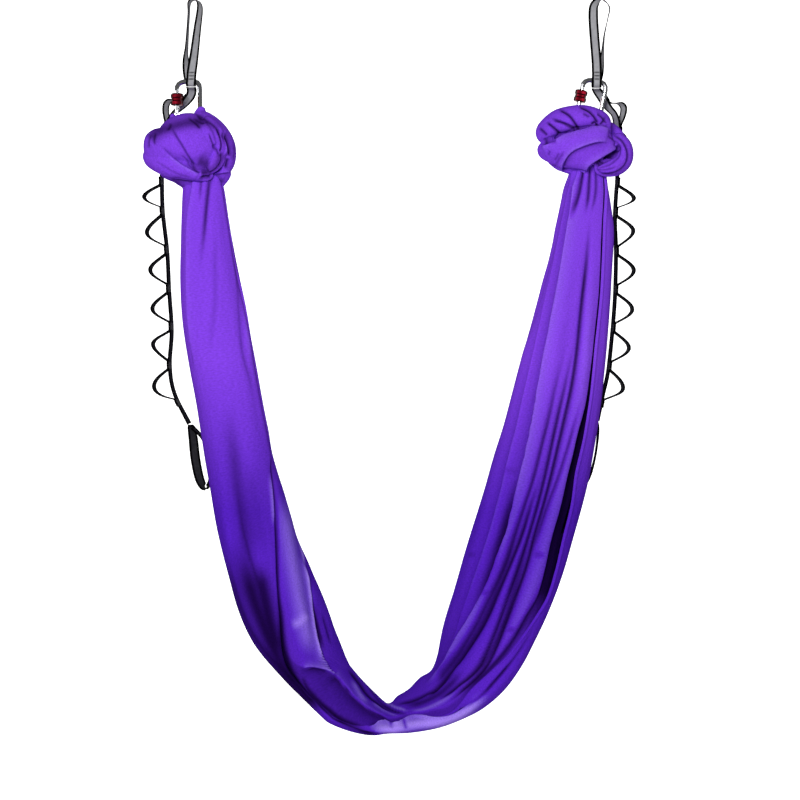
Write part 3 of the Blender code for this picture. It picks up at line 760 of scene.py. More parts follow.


# Folds of the cloth's front in millimetres as seen, in the order of the builders' arguments
# dark and pale are the strengths of each fold's painted shade and painted highlight
FOLDS = (
    # Right leg, from its inner edge outwards
    lap(-6, 3, (0.08, 0.04), 0.66, 0.12, 7, (480, -1340), (516, -1280), (538, -1220), (559, -1160),
        (580, -1100), (598, -1040), (614, -980), (628, -920), (644, -860), (657, -800), (678, -710),
        (698, -620), (718, -530), (736, -440), (747, -380), (753, -336)),
    lap(-9, 3, (0.04, 0.04), 0.7, 0.32, 9, (460, -1366), (496, -1336), (526, -1284), (563, -1220),
        (591, -1160), (612, -1100), (625, -1070), (639, -1010), (654, -950), (668, -890), (680, -830),
        (696, -740), (714, -650), (732, -560), (752, -440), (760, -380), (766, -336)),
    hollow(8, 8, (0.3, 0.35), 0.9, (552, -1232), (570, -1194), (592, -1142), (606, -1098), (620, -1054),
        (630, -1020), (642, -976), (652, -940)),
    crease(6, 3.4, (0.03, 0.3), 0.8, (482, -1366), (508, -1334), (526, -1310), (564, -1250), (594, -1190),
        (622, -1130), (642, -1070), (662, -1010), (680, -954), (696, -890), (711, -830), (724, -770),
        (740, -710), (752, -660)),
    crease(8, 4, (0.05, 0.25), 0.97, (466, -1394), (484, -1374), (512, -1342), (538, -1310), (578, -1250),
        (606, -1190), (632, -1130), (656, -1070), (674, -1010), (686, -976), (698, -940)),
    hollow(5, 8, (0.2, 0.35), 0.75, (472, -1384), (506, -1344), (548, -1290), (584, -1228), (612, -1160),
        (636, -1096), (654, -1040), (670, -990)),
    crease(9, 3.4, (0.04, 0.25), 0.95, (486, -1400), (524, -1372), (562, -1340), (580, -1310), (606, -1250),
        (628, -1190), (650, -1130), (670, -1070), (688, -1010), (703, -950), (716, -890), (729, -830),
        (743, -770), (756, -710), (764, -660)),
    crease(10, 3.6, (0.04, 0.15), 0.97, (510, -1404), (542, -1372), (576, -1340), (596, -1310), (626, -1236),
        (644, -1190), (666, -1130), (682, -1070), (700, -1010), (716, -950), (730, -890), (744, -830),
        (757, -770), (766, -710), (772, -650), (778, -590), (785, -530), (790, -470), (794, -424)),
    hollow(6, 8, (0.2, 0.4), 0.75, (524, -1376), (564, -1344), (596, -1296), (622, -1236), (640, -1180),
        (658, -1124), (676, -1070), (692, -1020)),
    crease(5, 3, (0.2, 0.3), 0.7, (674, -1112), (688, -1070), (708, -1010), (730, -950), (748, -890),
        (764, -830), (774, -790)),
    hollow(5, 6, (0.2, 0.45), 0.8, (528, -1400), (552, -1370), (588, -1338), (620, -1306), (646, -1268),
        (670, -1228), (692, -1184), (708, -1136)),
    swell(6, 13, (0.2, 0.2), 0, (528, -1310), (566, -1250), (604, -1180), (634, -1106), (654, -1030),
        (674, -960), (690, -880), (708, -790), (726, -690), (744, -580), (762, -460)),
    swell(6, 12, (0.2, 0.2), 0.1, (572, -1344), (624, -1280), (660, -1212), (688, -1140), (710, -1060),
        (732, -980), (752, -890), (772, -800), (788, -640), (802, -500)),
    swell(4, 12, (0.2, 0.2), 0, (512, -1250), (542, -1160), (572, -1060), (596, -960), (624, -860),
        (660, -700), (688, -580)),
    crease(4, 3, (0.3, 0.3), 0.7, (576, -1394), (596, -1368), (618, -1344), (638, -1320)),
    # Right leg's neck, gathered under the knot
    crease(8, 3.4, (0.35, 0.02), 0.95, (756, -444), (764, -412), (772, -380), (778, -336)),
    crease(6, 3.2, (0.4, 0.02), 0.85, (782, -432), (787, -408), (790, -380), (793, -336)),
    crease(4, 3.2, (0.4, 0.02), 0.6, (792, -430), (800, -406), (805, -380), (806, -336)),
    # Left leg, from the neck down
    lap(5, 2.6, (0.01, 0.3), 0.8, 0.15, 4, (2, -344), (-4, -380), (-11, -424), (-13, -470), (-14, -530),
        (-13, -590), (-10, -650), (-7, -690), (2, -750)),
    crease(6, 4, (0.02, 0.6), 0.8, (34, -344), (29, -380), (24, -424), (19, -476), (14, -512), (12, -550)),
    crease(3, 3, (0.02, 0.6), 0.6, (16, -344), (13, -380), (12, -412)),
    crease(2.2, 5, (0.25, 0.25), 0.2, (46, -450), (43, -512), (44, -560), (42, -618), (34, -670), (28, -720)),
    crease(3, 4, (0.2, 0.25), 0.25, (72, -470), (86, -550), (94, -645), (99, -702), (111, -748), (128, -810)),
    swell(3, 6, (0.25, 0.25), 0.12, (84, -480), (98, -580), (106, -660), (116, -740)),
    hollow(4, 14, (0.4, 0.25), 0.5, (70, -790), (72, -850), (80, -920), (86, -980), (96, -1030),
        (104, -1090), (112, -1150)),
    hollow(2, 24, (0.35, 0.3), 0.25, (106, -910), (116, -980), (124, -1050), (132, -1120)),
    hollow(9, 24, (0.3, 0.1), 0.95, (92, -1060), (96, -1100), (106, -1160), (120, -1208), (136, -1248),
        (154, -1290), (172, -1328), (194, -1366), (224, -1402), (256, -1434)),
    hollow(3, 17, (0.25, 0.2), 0.9, (124, -1120), (136, -1164), (146, -1208), (154, -1248), (164, -1286),
        (178, -1320)),
    swell(3, 8, (0.3, 0.3), 0, (56, -1000), (64, -1060), (76, -1120)),
    swell(2, 5, (0.3, 0.3), 0.45, (152, -940), (157, -980), (160, -1020), (162, -1060)),
    swell(4, 8, (0.3, 0.3), 0.6, (192, -1252), (210, -1244), (226, -1226)),
    hollow(2, 9, (0.3, 0.1), 0.7, (56, -1090), (68, -1150), (84, -1204), (108, -1260), (136, -1304),
        (180, -1356), (212, -1388)),
    crease(3, 3.5, (0.3, 0.2), 0.4, (84, -950), (88, -1010), (96, -1060), (112, -1120), (132, -1180),
        (148, -1240), (164, -1290)),
    crease(8, 3.2, (0.06, 0.1), 0.85, (155, -910), (159, -952), (163, -996), (165, -1040), (167, -1090),
        (168, -1150), (171, -1194), (176, -1234), (179, -1280), (182, -1310), (190, -1340), (206, -1366),
        (237, -1400)),
    hollow(6, 7, (0.4, 0.1), 0.95, (166, -1170), (174, -1224), (178, -1280), (186, -1328), (206, -1364),
        (228, -1392)),
    swell(7, 14, (0.25, 0.15), 0.4, (170, -976), (180, -1024), (190, -1090), (202, -1160), (214, -1220),
        (226, -1280), (236, -1316)),
    lap(-5, 2.2, (0.22, 0.06), 0.75, 1, 4.5, (212, -1104), (219, -1126), (226, -1154), (233, -1190),
        (237, -1220), (240, -1250), (246, -1282), (254, -1310), (263, -1330), (276, -1345), (288, -1352)),
    swell(0.6, 2.4, (0.15, 0.15), 1, (217, -1126), (224, -1154), (230, -1190), (234, -1220), (238, -1250),
        (244, -1282), (252, -1310), (260, -1330)),
    swell(0.6, 2.6, (0.25, 0.2), 0.8, (180, -980), (192, -1022), (204, -1064), (214, -1100), (222, -1132),
        (228, -1160)),
    lap(4, 2.6, (0.25, 0.3), 0.6, 0.3, 5, (228, -1150), (236, -1184), (244, -1220), (252, -1250),
        (259, -1280), (264, -1304)),
    crease(4, 3, (0.3, 0.35), 0.6, (256, -1224), (268, -1264), (278, -1296)),
    hollow(4, 7, (0.3, 0.3), 0.8, (234, -1190), (244, -1228), (254, -1272), (262, -1308)),
    # Slack cloth below the left leg
    lap(7, 3, (0.12, 0.1), 0.95, 0.4, 6, (216, -1337), (228, -1335), (244, -1336), (262, -1341),
        (276, -1349), (290, -1355)),
    crease(7, 3.4, (0.2, 0.15), 0.8, (182, -1280), (194, -1336), (214, -1370), (238, -1400), (268, -1428),
        (304, -1454), (336, -1462)),
    crease(6, 3.4, (0.1, 0.15), 0.85, (219, -1348), (228, -1372), (250, -1396), (280, -1420), (308, -1438),
        (348, -1452)),
    hollow(4, 8, (0.2, 0.2), 0.8, (220, -1368), (244, -1396), (276, -1422), (308, -1440), (344, -1454)),
    lap(6, 3, (0.08, 0.12), 0.9, 0.1, 7, (276, -1344), (290, -1358), (306, -1376), (326, -1400),
        (358, -1422), (398, -1438)),
    crease(4, 3.4, (0.15, 0.25), 0.9, (304, -1336), (319, -1352), (333, -1370), (349, -1392), (367, -1406),
        (387, -1420), (410, -1429)),
    crease(3.5, 3, (0.25, 0.25), 0.85, (346, -1370), (358, -1386), (379, -1408), (402, -1421), (430, -1428)),
    # Seat, with a painted highlight on the ridge of the hem's strip
    swell(3, 4.5, (0.3, 0.3), 0.4, (312, -1358), (324, -1378), (334, -1394), (350, -1409)),
    swell(2, 3.2, (0.3, 0.2), 0.5, (346, -1376), (362, -1390), (379, -1405), (404, -1415), (432, -1424)),
    swell(2, 3, (0.3, 0.25), 0.4, (350, -1400), (368, -1414), (388, -1424), (412, -1432)),
    swell(2, 4, (0.25, 0.4), 0.3, (420, -1420), (454, -1419), (482, -1410), (512, -1392), (536, -1372)),
    crease(4, 3.2, (0.3, 0.3), 0.5, (462, -1444), (512, -1432), (564, -1400), (612, -1352), (656, -1296),
        (692, -1236)),
    hollow(3, 7, (0.2, 0.3), 0.7, (416, -1411), (452, -1403), (486, -1388), (514, -1366), (544, -1336)),
    crease(5, 3.2, (0.2, 0.3), 0.85, (396, -1409), (420, -1404), (444, -1396), (471, -1382), (492, -1368),
        (512, -1352), (528, -1338)),
    lap(-5, 2.4, (0.08, 0.2), 0.8, 1, 4.5, (352, -1454), (366, -1445), (382, -1441), (396, -1444),
        (404, -1450), (414, -1443), (430, -1432), (448, -1431), (476, -1436), (502, -1434), (524, -1426),
        (544, -1412), (568, -1394)),
    swell(3, 9, (0.12, 0.25), 0.9, (348, -1462), (372, -1456), (396, -1458), (424, -1452), (452, -1448),
        (484, -1446), (512, -1438), (540, -1424), (568, -1404), (592, -1382)),
    hollow(3, 6, (0.2, 0.25), 0.95, (276, -1432), (300, -1446), (324, -1458), (348, -1467), (376, -1470)),
    crease(3, 3, (0.3, 0.3), 0.6, (370, -1434), (366, -1442), (354, -1450)),
    crease(3, 3, (0.3, 0.3), 0.75, (394, -1442), (396, -1450), (398, -1460)),
    crease(4, 3.4, (0.3, 0.3), 0.8, (416, -1440), (421, -1450), (426, -1460)),
    # Small dents of the slack cloth, with painted shade
    crease(1.2, 2, (0.3, 0.3), 0.4, (622, -939), (634, -940), (648, -942)),
    crease(1.2, 2, (0.3, 0.3), 0.4, (646, -978), (656, -981), (666, -980)),
    crease(1.2, 2, (0.3, 0.3), 0.4, (676, -1106), (692, -1109), (710, -1108)),
    crease(1.2, 2, (0.3, 0.3), 0.4, (542, -1112), (552, -1110), (564, -1113)),
    crease(1.2, 2, (0.3, 0.3), 0.4, (576, -1184), (584, -1188), (594, -1186)),
    crease(1.2, 2, (0.3, 0.3), 0.4, (626, -1256), (636, -1260), (648, -1258)),
)

Cut = dict[str, np.ndarray]


@dataclass
class SlingCloth:
    """The one length of cloth between the knots, gathered in long folds.

    Across each section the sheet starts at its free hem on the front, goes round the outer edge
    and the back to the inner edge, and over the front until it passes under the hem. The rest of
    its width lies folded inside. Flat sizes are in metres, depths and heights in millimetres, and
    places along the cloth are shares of its length."""

    flat_width: float = 2.8
    flat_length: float = 2.5
    rows: int = 286
    flap_columns: int = 92
    back_columns: int = 58
    front_columns: int = 112
    inner_layers: int = 13
    layer_columns: int = 6
    seat_place: float = 0.46
    seat_spread: float = 0.17
    seat_reach: float = 0.27
    seat_turn: float = 50.7
    roundness: float = 0.85
    back_pleats: int = 13
    hem_gap: float = 3.2
    deep_fold: float = 15.0
    # Depth in millimetres over which a drop under the hem, or a pleat on the back, darkens to its full
    # painted shade
    painted_shade_depth: float = 9.0
    seed: int = 11
    # Painted shade and painted highlight of each visible place, set by outer_turn
    shade: np.ndarray | None = None
    crest: np.ndarray | None = None

    def centre_line(self) -> tuple[np.ndarray, np.ndarray, np.ndarray, np.ndarray]:
        """Rows of the sheet: section centre, outward half as seen, half depth and place along.

        Returns:
            Centres and outward halves (rows, 2), half depths (rows,), shares along (rows,).
        """
        table = np.array(CLOTH_STATIONS, float)
        middle = (table[:, 0:2] + table[:, 2:4]) / 2
        outward = table[:, 0:2] - middle
        dense = smooth_curve(np.hstack([middle, outward, table[:, 4:5] / 2]).tolist(), 40)
        even = spread(dense, 1200, 2)
        share = np.linspace(0, 1, len(even))
        # Rows lie closer together round the seat, where the folds are finest.
        weight = 1 + 0.9 * np.exp(-(((share - self.seat_place) / self.seat_spread) ** 2))
        filled = np.concatenate([[0.0], np.cumsum((weight[1:] + weight[:-1]) / 2)])
        wanted = np.interp(np.linspace(0, filled[-1], self.rows), filled, share)
        picked = columns_at(wanted, share, even)
        return picked[:, 0:2], picked[:, 2:4], picked[:, 4], wanted

    @staticmethod
    def crossing(line: Routes, centre: np.ndarray, outward: np.ndarray, prefer: float) -> np.ndarray:
        """Where a line crosses each section, from one at the outer edge to minus one at the inner.

        Args:
            line: Points as seen, from the left knot to the right one.
            centre: Section centres.
            outward: Outward halves of the sections.
            prefer: The share expected, which picks one of several crossings.

        Returns:
            Shares of the outward half, one for each section.
        """
        farthest = 1.6
        dense = smooth_curve(line, 24)
        found = np.full(len(centre), np.nan)
        for row, half in enumerate(outward):
            offset = dense - centre[row]
            side = offset @ np.array([-half[1], half[0]])
            share = offset @ half / (half @ half)
            hits = np.nonzero(np.sign(side[:-1]) != np.sign(side[1:]))[0]
            if len(hits):
                part = side[hits] / (side[hits] - side[hits + 1])
                shares = share[hits] + part * (share[hits + 1] - share[hits])
                nearest = shares[np.argmin(np.abs(shares - prefer))]
                if abs(nearest) < farthest:
                    found[row] = nearest
        known = np.nonzero(~np.isnan(found))[0]
        return np.interp(np.arange(len(found)), known, found[known])

    def sections(self) -> Cut:
        """Sections fitted to the outlines, with the places of the hem and of the deep fold in them.

        Returns:
            Centres and outward halves (rows, 2) and half depths (rows,) in millimetres. Then, as
            (rows, 1), the angles of the hem and of the fold's edge, the section's turn, how near
            the seat a row is, and its share along.
        """
        centre, outward, depth, along = self.centre_line()
        outer = self.crossing(OUTER_EDGE, centre, outward, 1.0)
        inner = self.crossing(INNER_EDGE, centre, outward, -1.0)
        fitted = centre + outward * ((outer + inner) / 2)[:, None]
        half = outward * ((outer - inner) / 2)[:, None]
        hem = np.clip(self.crossing(HEM_LINE, fitted, half, 0.3), -0.985, 0.93)
        edge = np.clip(self.crossing(DEEP_FOLD, fitted, half, 0.2), -0.99, 0.9)
        seat = smooth_step(1 - np.abs(along - 0.5) / self.seat_reach)
        return {
            "centre": fitted,
            "half": half,
            "depth": depth,
            "hem": np.arccos(hem)[:, None],
            "edge": np.arccos(np.minimum(edge, hem - 0.02))[:, None],
            "turn": seat[:, None] * math.radians(self.seat_turn),
            "seat": seat[:, None],
            "along": along[:, None],
        }

    @staticmethod
    def place(cut: Cut, across: np.ndarray, front: np.ndarray) -> tuple[np.ndarray, np.ndarray]:
        """Places of points given by their shares across and to the front of each section.

        Args:
            cut: The sections.
            across: Shares of the half width, (rows, columns).
            front: Shares of the half depth towards the camera, (rows, columns).

        Returns:
            Places in millimetres (rows, columns, 3), and the same places as seen (rows, columns, 2).
        """
        depth = -cut["depth"][:, None] * (front * np.cos(cut["turn"]) + across * np.sin(cut["turn"]))
        seen = cut["centre"][:, None, :] + cut["half"][:, None, :] * across[:, :, None]
        eye = np.array(CAMERA_PLACE) / MM
        shrink = 1 - depth / eye[1]
        x = eye[0] + (seen[:, :, 0] - eye[0]) * shrink
        z = eye[2] + (seen[:, :, 1] - eye[2]) * shrink
        return np.stack([x, depth, z], axis=2), seen

    def angles(self, cut: Cut) -> np.ndarray:
        """Angle round the section of each column of the outer turn, from the hem round to beneath it.

        Args:
            cut: The sections.

        Returns:
            The angles in radians, (rows, columns).
        """
        hem, edge = cut["hem"], cut["edge"]
        inner = int(self.front_columns * 0.72)
        flap = np.linspace(0, 1, self.flap_columns)[None]
        back, first, last = (
            np.linspace(0, 1, count + 1)[None, 1:]
            for count in (self.back_columns, inner, self.front_columns - inner)
        )
        under = np.maximum(hem - 0.30, 0.06)
        steps = [
            hem * (1 - flap),
            np.tile(-math.pi * back, (self.rows, 1)),
            -math.pi - (math.pi - edge) * first,
            -2 * math.pi + edge - (edge - under) * last,
        ]
        return np.concatenate(steps, axis=1)

    def back_relief(self, cut: Cut, angle: np.ndarray) -> np.ndarray:
        """Long seeded pleats of the side that faces away.

        Args:
            cut: The sections.
            angle: Angle of each place round its section, (rows, columns).

        Returns:
            The lifts in millimetres, (rows, columns).
        """
        chance = np.random.default_rng(self.seed)
        lift = np.zeros_like(angle)
        along = cut["along"]
        for k in range(self.back_pleats):
            middle = -math.pi * (k + 0.5 + chance.uniform(-0.3, 0.3)) / self.back_pleats
            drift = 0.16 * np.sin(along * chance.uniform(2, 6) + chance.uniform(0, 6))
            width = chance.uniform(0.05, 0.10)
            deep = chance.uniform(3.5, 8.0) * (0.75 + 0.25 * np.sin(along * chance.uniform(4, 9) + k))
            lift -= deep * sharp_valley((angle - middle - drift) / width)
        return lift * smooth_step(np.sin(-angle) / 0.25)

    def outer_turn(self, cut: Cut) -> np.ndarray:
        """Places of the visible part of the sheet, folds and all.

        Args:
            cut: The sections.

        Returns:
            The places in millimetres, (rows, columns, 3).
        """
        angle = self.angles(cut)
        sine = np.sin(angle)
        base, seen = self.place(cut, np.cos(angle), np.copysign(np.abs(sine) ** self.roundness, sine))
        normal = unit(np.cross(unit(np.gradient(base, axis=1)), unit(np.gradient(base, axis=0))))
        if np.mean(normal[:, self.flap_columns // 2, 1]) > 0:
            normal = -normal
        pressed = press(FOLDS, seen.reshape(-1, 2)).reshape(*angle.shape, 4)
        facing = smooth_step(sine / 0.22)
        calm = 1 - 0.3 * cut["seat"]
        pleats = self.back_relief(cut, angle)
        under = self.under_hem(cut, angle)
        # Painted shade from the folds, from the drop under the hem and from the back's pleats; painted
        # highlight on the folds' crests
        turned = smooth_step((sine + 0.12) / 0.14)
        deep = 1 - (1 - pressed[:, :, 2] * turned) * (1 - np.clip(-under / self.painted_shade_depth, 0.0, 1.0))
        self.shade = np.clip(deep + np.clip(-pleats / self.painted_shade_depth, 0.0, 0.8), 0.0, 1.0)
        self.crest = pressed[:, :, 3] * facing
        lift = pressed[:, :, 0] * facing * calm
        lift += pleats * calm + under + self.hem_roll(cut, angle)
        lift += self.unevenness(cut, angle)
        half = unit(cut["half"])
        inward = np.stack([-half[:, 0], np.zeros(len(half)), -half[:, 1]], axis=1)[:, None, :]
        return base + normal * lift[:, :, None] + inward * (pressed[:, :, 1] * facing)[:, :, None]

    def under_hem(self, cut: Cut, angle: np.ndarray) -> np.ndarray:
        """Drop of the front where it passes under the flap, and into the deep fold beside it.

        Args:
            cut: The sections.
            angle: Angle of each place round its section, (rows, columns).

        Returns:
            The lifts in millimetres, none above zero.
        """
        turn = angle + 2 * math.pi
        front = (turn > 0) & (turn < math.pi)
        along = cut["along"]
        deep = self.deep_fold * smooth_step((along - 0.60) / 0.12) * smooth_step((1.0 - along) / 0.05)
        drop = smooth_step((cut["edge"] + 0.03 - turn) / 0.09)
        return np.where(front, -(deep + self.hem_gap) * drop, 0.0)

    @staticmethod
    def hem_roll(cut: Cut, angle: np.ndarray) -> np.ndarray:
        """Rolled hem along the free edge, in millimetres of lift."""
        width = np.linalg.norm(cut["half"], axis=1)[:, None] * np.maximum(np.sin(cut["hem"]), 0.2)
        away = (cut["hem"] - angle) * width
        roll = 1.6 * np.exp(-(((away - 3.5) / 2.6) ** 2)) - 2.2 * np.exp(-((away / 1.2) ** 2))
        return np.where(angle > -0.01, roll, 0.0)

    def unevenness(self, cut: Cut, angle: np.ndarray) -> np.ndarray:
        """Slight waves of hanging cloth.

        Args:
            cut: The sections.
            angle: Angle of each place round its section, (rows, columns).

        Returns:
            The lifts in millimetres, (rows, columns).
        """
        along = np.tile(cut["along"] * self.flat_length, (1, angle.shape[1]))
        round_way = angle * (np.linalg.norm(cut["half"], axis=1)[:, None] * MM)
        found = np.empty(angle.shape)
        for i, j in np.ndindex(*angle.shape):
            spot = Vector((round_way[i, j] * 26, along[i, j] * 3.2, self.seed))
            fine = Vector((round_way[i, j] * 80, along[i, j] * 9.0, self.seed + 5))
            found[i, j] = 1.5 * noise.noise(spot) + 0.5 * noise.noise(fine)
        return found

    def inner_turns(self, cut: Cut) -> np.ndarray:
        """Places of the width that lies folded inside.

        Args:
            cut: The sections.

        Returns:
            The places in millimetres, (rows, columns, 3).
        """
        blocks = []
        flatness = 1 - 0.5 * cut["seat"]
        for k, level in enumerate(np.linspace(0.52, -0.58, self.inner_layers)):
            reach = 0.84 * math.sqrt(1 - level * level)
            swing = np.linspace(-1, 1, self.layer_columns) * (1 if k % 2 == 0 else -1)
            across = np.tile(swing[None] * reach, (self.rows, 1))
            sway = 0.02 * np.sin(swing[None] * 5 + k)
            blocks.append(self.place(cut, across, (level + sway) * flatness)[0])
        return np.concatenate(blocks, axis=1)

    def build(self, material: bpy.types.Material) -> bpy.types.Object:
        """Make the sheet as one mesh with its own pattern coordinates.

        Args:
            material: The cloth's finish.

        Returns:
            The cloth.
        """
        cut = self.sections()
        places = np.concatenate([self.outer_turn(cut), self.inner_turns(cut)], axis=1) * MM
        rows, columns, _ = places.shape
        faces = grid_faces(rows, columns)
        wide = np.linalg.norm(np.diff(places, axis=1), axis=2).mean(axis=0)
        long = np.linalg.norm(np.diff(places, axis=0), axis=2).mean(axis=1)
        u = np.concatenate([[0.0], np.cumsum(wide)])
        v = np.concatenate([[0.0], np.cumsum(long)])
        numbers = np.array(faces)
        uvs = np.stack([u[numbers % columns], v[numbers // columns]], axis=2)
        made = make_mesh("sling_cloth_sheet", places.reshape(-1, 3), faces, material, uvs.reshape(-1, 2))
        # The width folded inside gets full painted shade and no painted highlight
        hidden = np.ones((rows, columns - self.shade.shape[1]))
        deep = np.concatenate([self.shade, hidden], axis=1)
        crest = np.concatenate([self.crest, 0 * hidden], axis=1)
        write_shade(made.data, deep.ravel(), crest.ravel())
        log.info("sling cloth: %d x %d places, %.2f m developed across", rows, columns, u[-1])
        return made


@dataclass(frozen=True)
class WrappedBand:
    """One turn of gathered cloth in a knot: points of (x, y, z, half width, half thickness).

    The points are in millimetres from the knot's centre."""

    pleats: int
    deep: float
    seed: int
    points: Routes


def band(pleats: int, deep: float, seed: int, *points: Point) -> WrappedBand:
    """One turn of a knot, along its points."""
    return WrappedBand(pleats, deep, seed, points)


@dataclass
class ClothKnot:
    """A knot of the gathered cloth, with its turns wound and tucked round the carabiner."""

    side: str
    centre: Point
    bands: Sequence[WrappedBand]
    folds: Sequence[Fold]
    rows: int = 64
    columns: int = 120
    voxel: float = 1.5

    @staticmethod
    def pleats(band: WrappedBand, angle: np.ndarray, along: np.ndarray) -> np.ndarray:
        """Depth of the long pleats of a band.

        Args:
            band: The band.
            angle: Angles round it.
            along: Shares of its length.

        Returns:
            The lifts in millimetres, one row for each share along.
        """
        chance = np.random.default_rng(band.seed)
        lift = np.zeros((len(along), len(angle)))
        for k in range(band.pleats):
            middle = 2 * math.pi * (k + chance.uniform(-0.28, 0.28)) / band.pleats
            wander = 0.16 * np.sin(along * chance.uniform(3, 7) + chance.uniform(0, 6))
            width = chance.uniform(0.10, 0.2) * 7 / band.pleats
            deep = band.deep * chance.uniform(0.55, 1.15)
            swell = 0.7 + 0.3 * np.sin(along * chance.uniform(3, 8) + chance.uniform(0, 6))
            gap = (angle[None, :] - middle - wander[:, None] + math.pi) % (2 * math.pi) - math.pi
            share = gap / width
            lift -= deep * swell[:, None] * np.exp(0.4 - np.sqrt(share * share + 0.16))
        return lift

    def band_shape(self, shape: bmesh.types.BMesh, band: WrappedBand) -> None:
        """Add one band to the knot, closed at its tucked ends.

        Args:
            shape: The knot so far.
            band: The band.
        """
        line = spread(smooth_curve(band.points), self.rows)
        centres = line[:, :3]
        along = np.linspace(0, 1, self.rows)
        angle = np.linspace(0, 2 * math.pi, self.columns, endpoint=False)
        ahead = directions(centres)
        outward = unit(centres - ahead * np.sum(centres * ahead, axis=1)[:, None] + 1e-6)
        beside = np.cross(ahead, outward)
        lift = self.pleats(band, angle, along)
        closing = np.sqrt(np.clip(1 - np.abs(2 * along - 1) ** 14, 0.02, 1))[:, None]
        wide = (line[:, 3:4] + 0.4 * lift) * closing
        thick = (line[:, 4:5] + lift) * closing
        places = (
            centres[:, None, :]
            + beside[:, None, :] * (wide * np.cos(angle)[None])[:, :, None]
            + outward[:, None, :] * (thick * np.sin(angle)[None])[:, :, None]
            + np.array(self.centre)
        )
        corners = [[shape.verts.new(tuple(p)) for p in row] for row in places * MM]
        for before, after in zip(corners, corners[1:]):
            for j in range(self.columns):
                k = (j + 1) % self.columns
                shape.faces.new((before[j], before[k], after[k], after[j]))
        shape.faces.new(reversed(corners[0]))
        shape.faces.new(corners[-1])

    def fold_front(self, mesh: bpy.types.Mesh) -> None:
        """Press the knot's own folds into the side that faces the viewer.

        Args:
            mesh: The knot's skin.
        """
        flat = np.empty(3 * len(mesh.vertices))
        mesh.vertices.foreach_get("co", flat)
        places = flat.reshape(-1, 3) / MM
        mesh.vertex_normals.foreach_get("vector", flat)
        normal = flat.reshape(-1, 3)
        eye = np.array(CAMERA_PLACE) / MM
        seen = ((1 / (1 - places[:, 1:2] / eye[1])) * (places - eye) + eye)[:, [0, 2]]
        facing = smooth_step((-normal[:, 1] + 0.05) / 0.35)
        pressed = press(self.folds, seen) * facing[:, None]
        moved = (places + normal * pressed[:, 0:1]) * MM
        mesh.vertices.foreach_set("co", moved.ravel())
        mesh.update()
        # The knot's folds paint shade and highlight into its colour
        write_shade(mesh, pressed[:, 2], pressed[:, 3])

    def build(self, material: bpy.types.Material) -> bpy.types.Object:
        """Make the knot's cloth as one closed skin.

        Args:
            material: The cloth's finish.

        Returns:
            The knot.
        """
        shape = bmesh.new()
        for turn in self.bands:
            self.band_shape(shape, turn)
        bmesh.ops.recalc_face_normals(shape, faces=shape.faces)
        rough = bpy.data.meshes.new("knot_turns")
        shape.to_mesh(rough)
        shape.free()
        turns = link_object("knot_turns", rough)
        skin = turns.modifiers.new("skin", "REMESH")
        skin.mode = "VOXEL"
        skin.voxel_size = self.voxel * MM
        soften = turns.modifiers.new("soften", "SMOOTH")
        soften.factor = 0.5
        soften.iterations = 2
        mesh = apply_modifiers(turns)
        mesh.name = f"{self.side}_knot_cloth"
        self.fold_front(mesh)
        mesh.materials.clear()
        mesh.materials.append(material)
        mesh.shade_smooth()
        log.info("%s: %d faces", mesh.name, len(mesh.polygons))
        return link_object(mesh.name, mesh)


LEFT_KNOT_CENTRE = (-12, 0, -290)
LEFT_BANDS = (
    band(5, 1.2, 21, (-82, -3, -8, 31, 16), (-60, -19, -9, 40, 30), (-38, -26, -8, 44, 38),
        (-14, -29, 3, 53, 42), (10, -28, 7, 55, 42), (38, -22, 2, 47, 37), (54, -10, -6, 34, 26)),
    band(5, 1.2, 22, (-82, -2, -20, 20, 16), (-64, -20, -30, 25, 20), (-36, -36, -44, 25, 21),
        (-4, -43, -55, 20, 17), (26, -42, -63, 14, 13), (52, -30, -63, 11, 11)),
    band(6, 2, 23, (-56, 12, -35, 22, 22), (-28, 10, -50, 24, 22), (6, 4, -68, 24, 24), (40, 0, -76, 23, 24),
        (64, -6, -62, 22, 20), (80, -6, -44, 18, 16)),
    band(6, 2, 24, (14, 0, 62, 20, 12), (40, -2, 50, 28, 14), (63, -4, 28, 34, 16), (79, -4, -2, 36, 16),
        (78, -6, -36, 30, 16), (60, -12, -60, 20, 14)),
    band(3, 1, 25, (32, -38, 50, 12, 12), (54, -40, 28, 16, 15), (67, -36, -2, 16, 15),
        (61, -40, -36, 15, 14), (44, -46, -58, 10, 10)),
    band(2, 0.6, 26, (34, -50, 40, 8, 8), (46, -54, 16, 10, 10), (55, -50, -8, 8, 8)),
    band(11, 4, 27, (-74, 14, -2, 29, 18), (-46, 32, -4, 36, 24), (0, 44, 8, 45, 28), (44, 34, 4, 42, 24),
        (74, 12, -8, 30, 16)),
    band(8, 3.5, 28, (-60, 18, -40, 24, 18), (-20, 38, -50, 28, 22), (28, 38, -50, 28, 20),
        (64, 14, -44, 22, 16)),
    band(4, 1, 29, (-46, 0, 2, 44, 40), (0, 0, 4, 54, 46), (44, 0, -6, 46, 42)),
    band(3, 1, 33, (2, -30, -32, 26, 18), (28, -33, -37, 26, 18), (50, -24, -37, 24, 16),
        (66, -12, -34, 18, 12)),
    band(3, 1.2, 30, (18, 0, 40, 20, 16), (24, 0, 62, 13, 12), (29, 0, 77, 6, 7)),
    band(2, 0.6, 31, (-22, -18, 42, 14, 14), (-28, -15, 53, 8, 8), (-32, -12, 60, 4, 4)),
    band(6, 2, 32, (-2, -4, -50, 34, 30), (10, -2, -72, 33, 22), (16, 0, -92, 30, 12)),
)
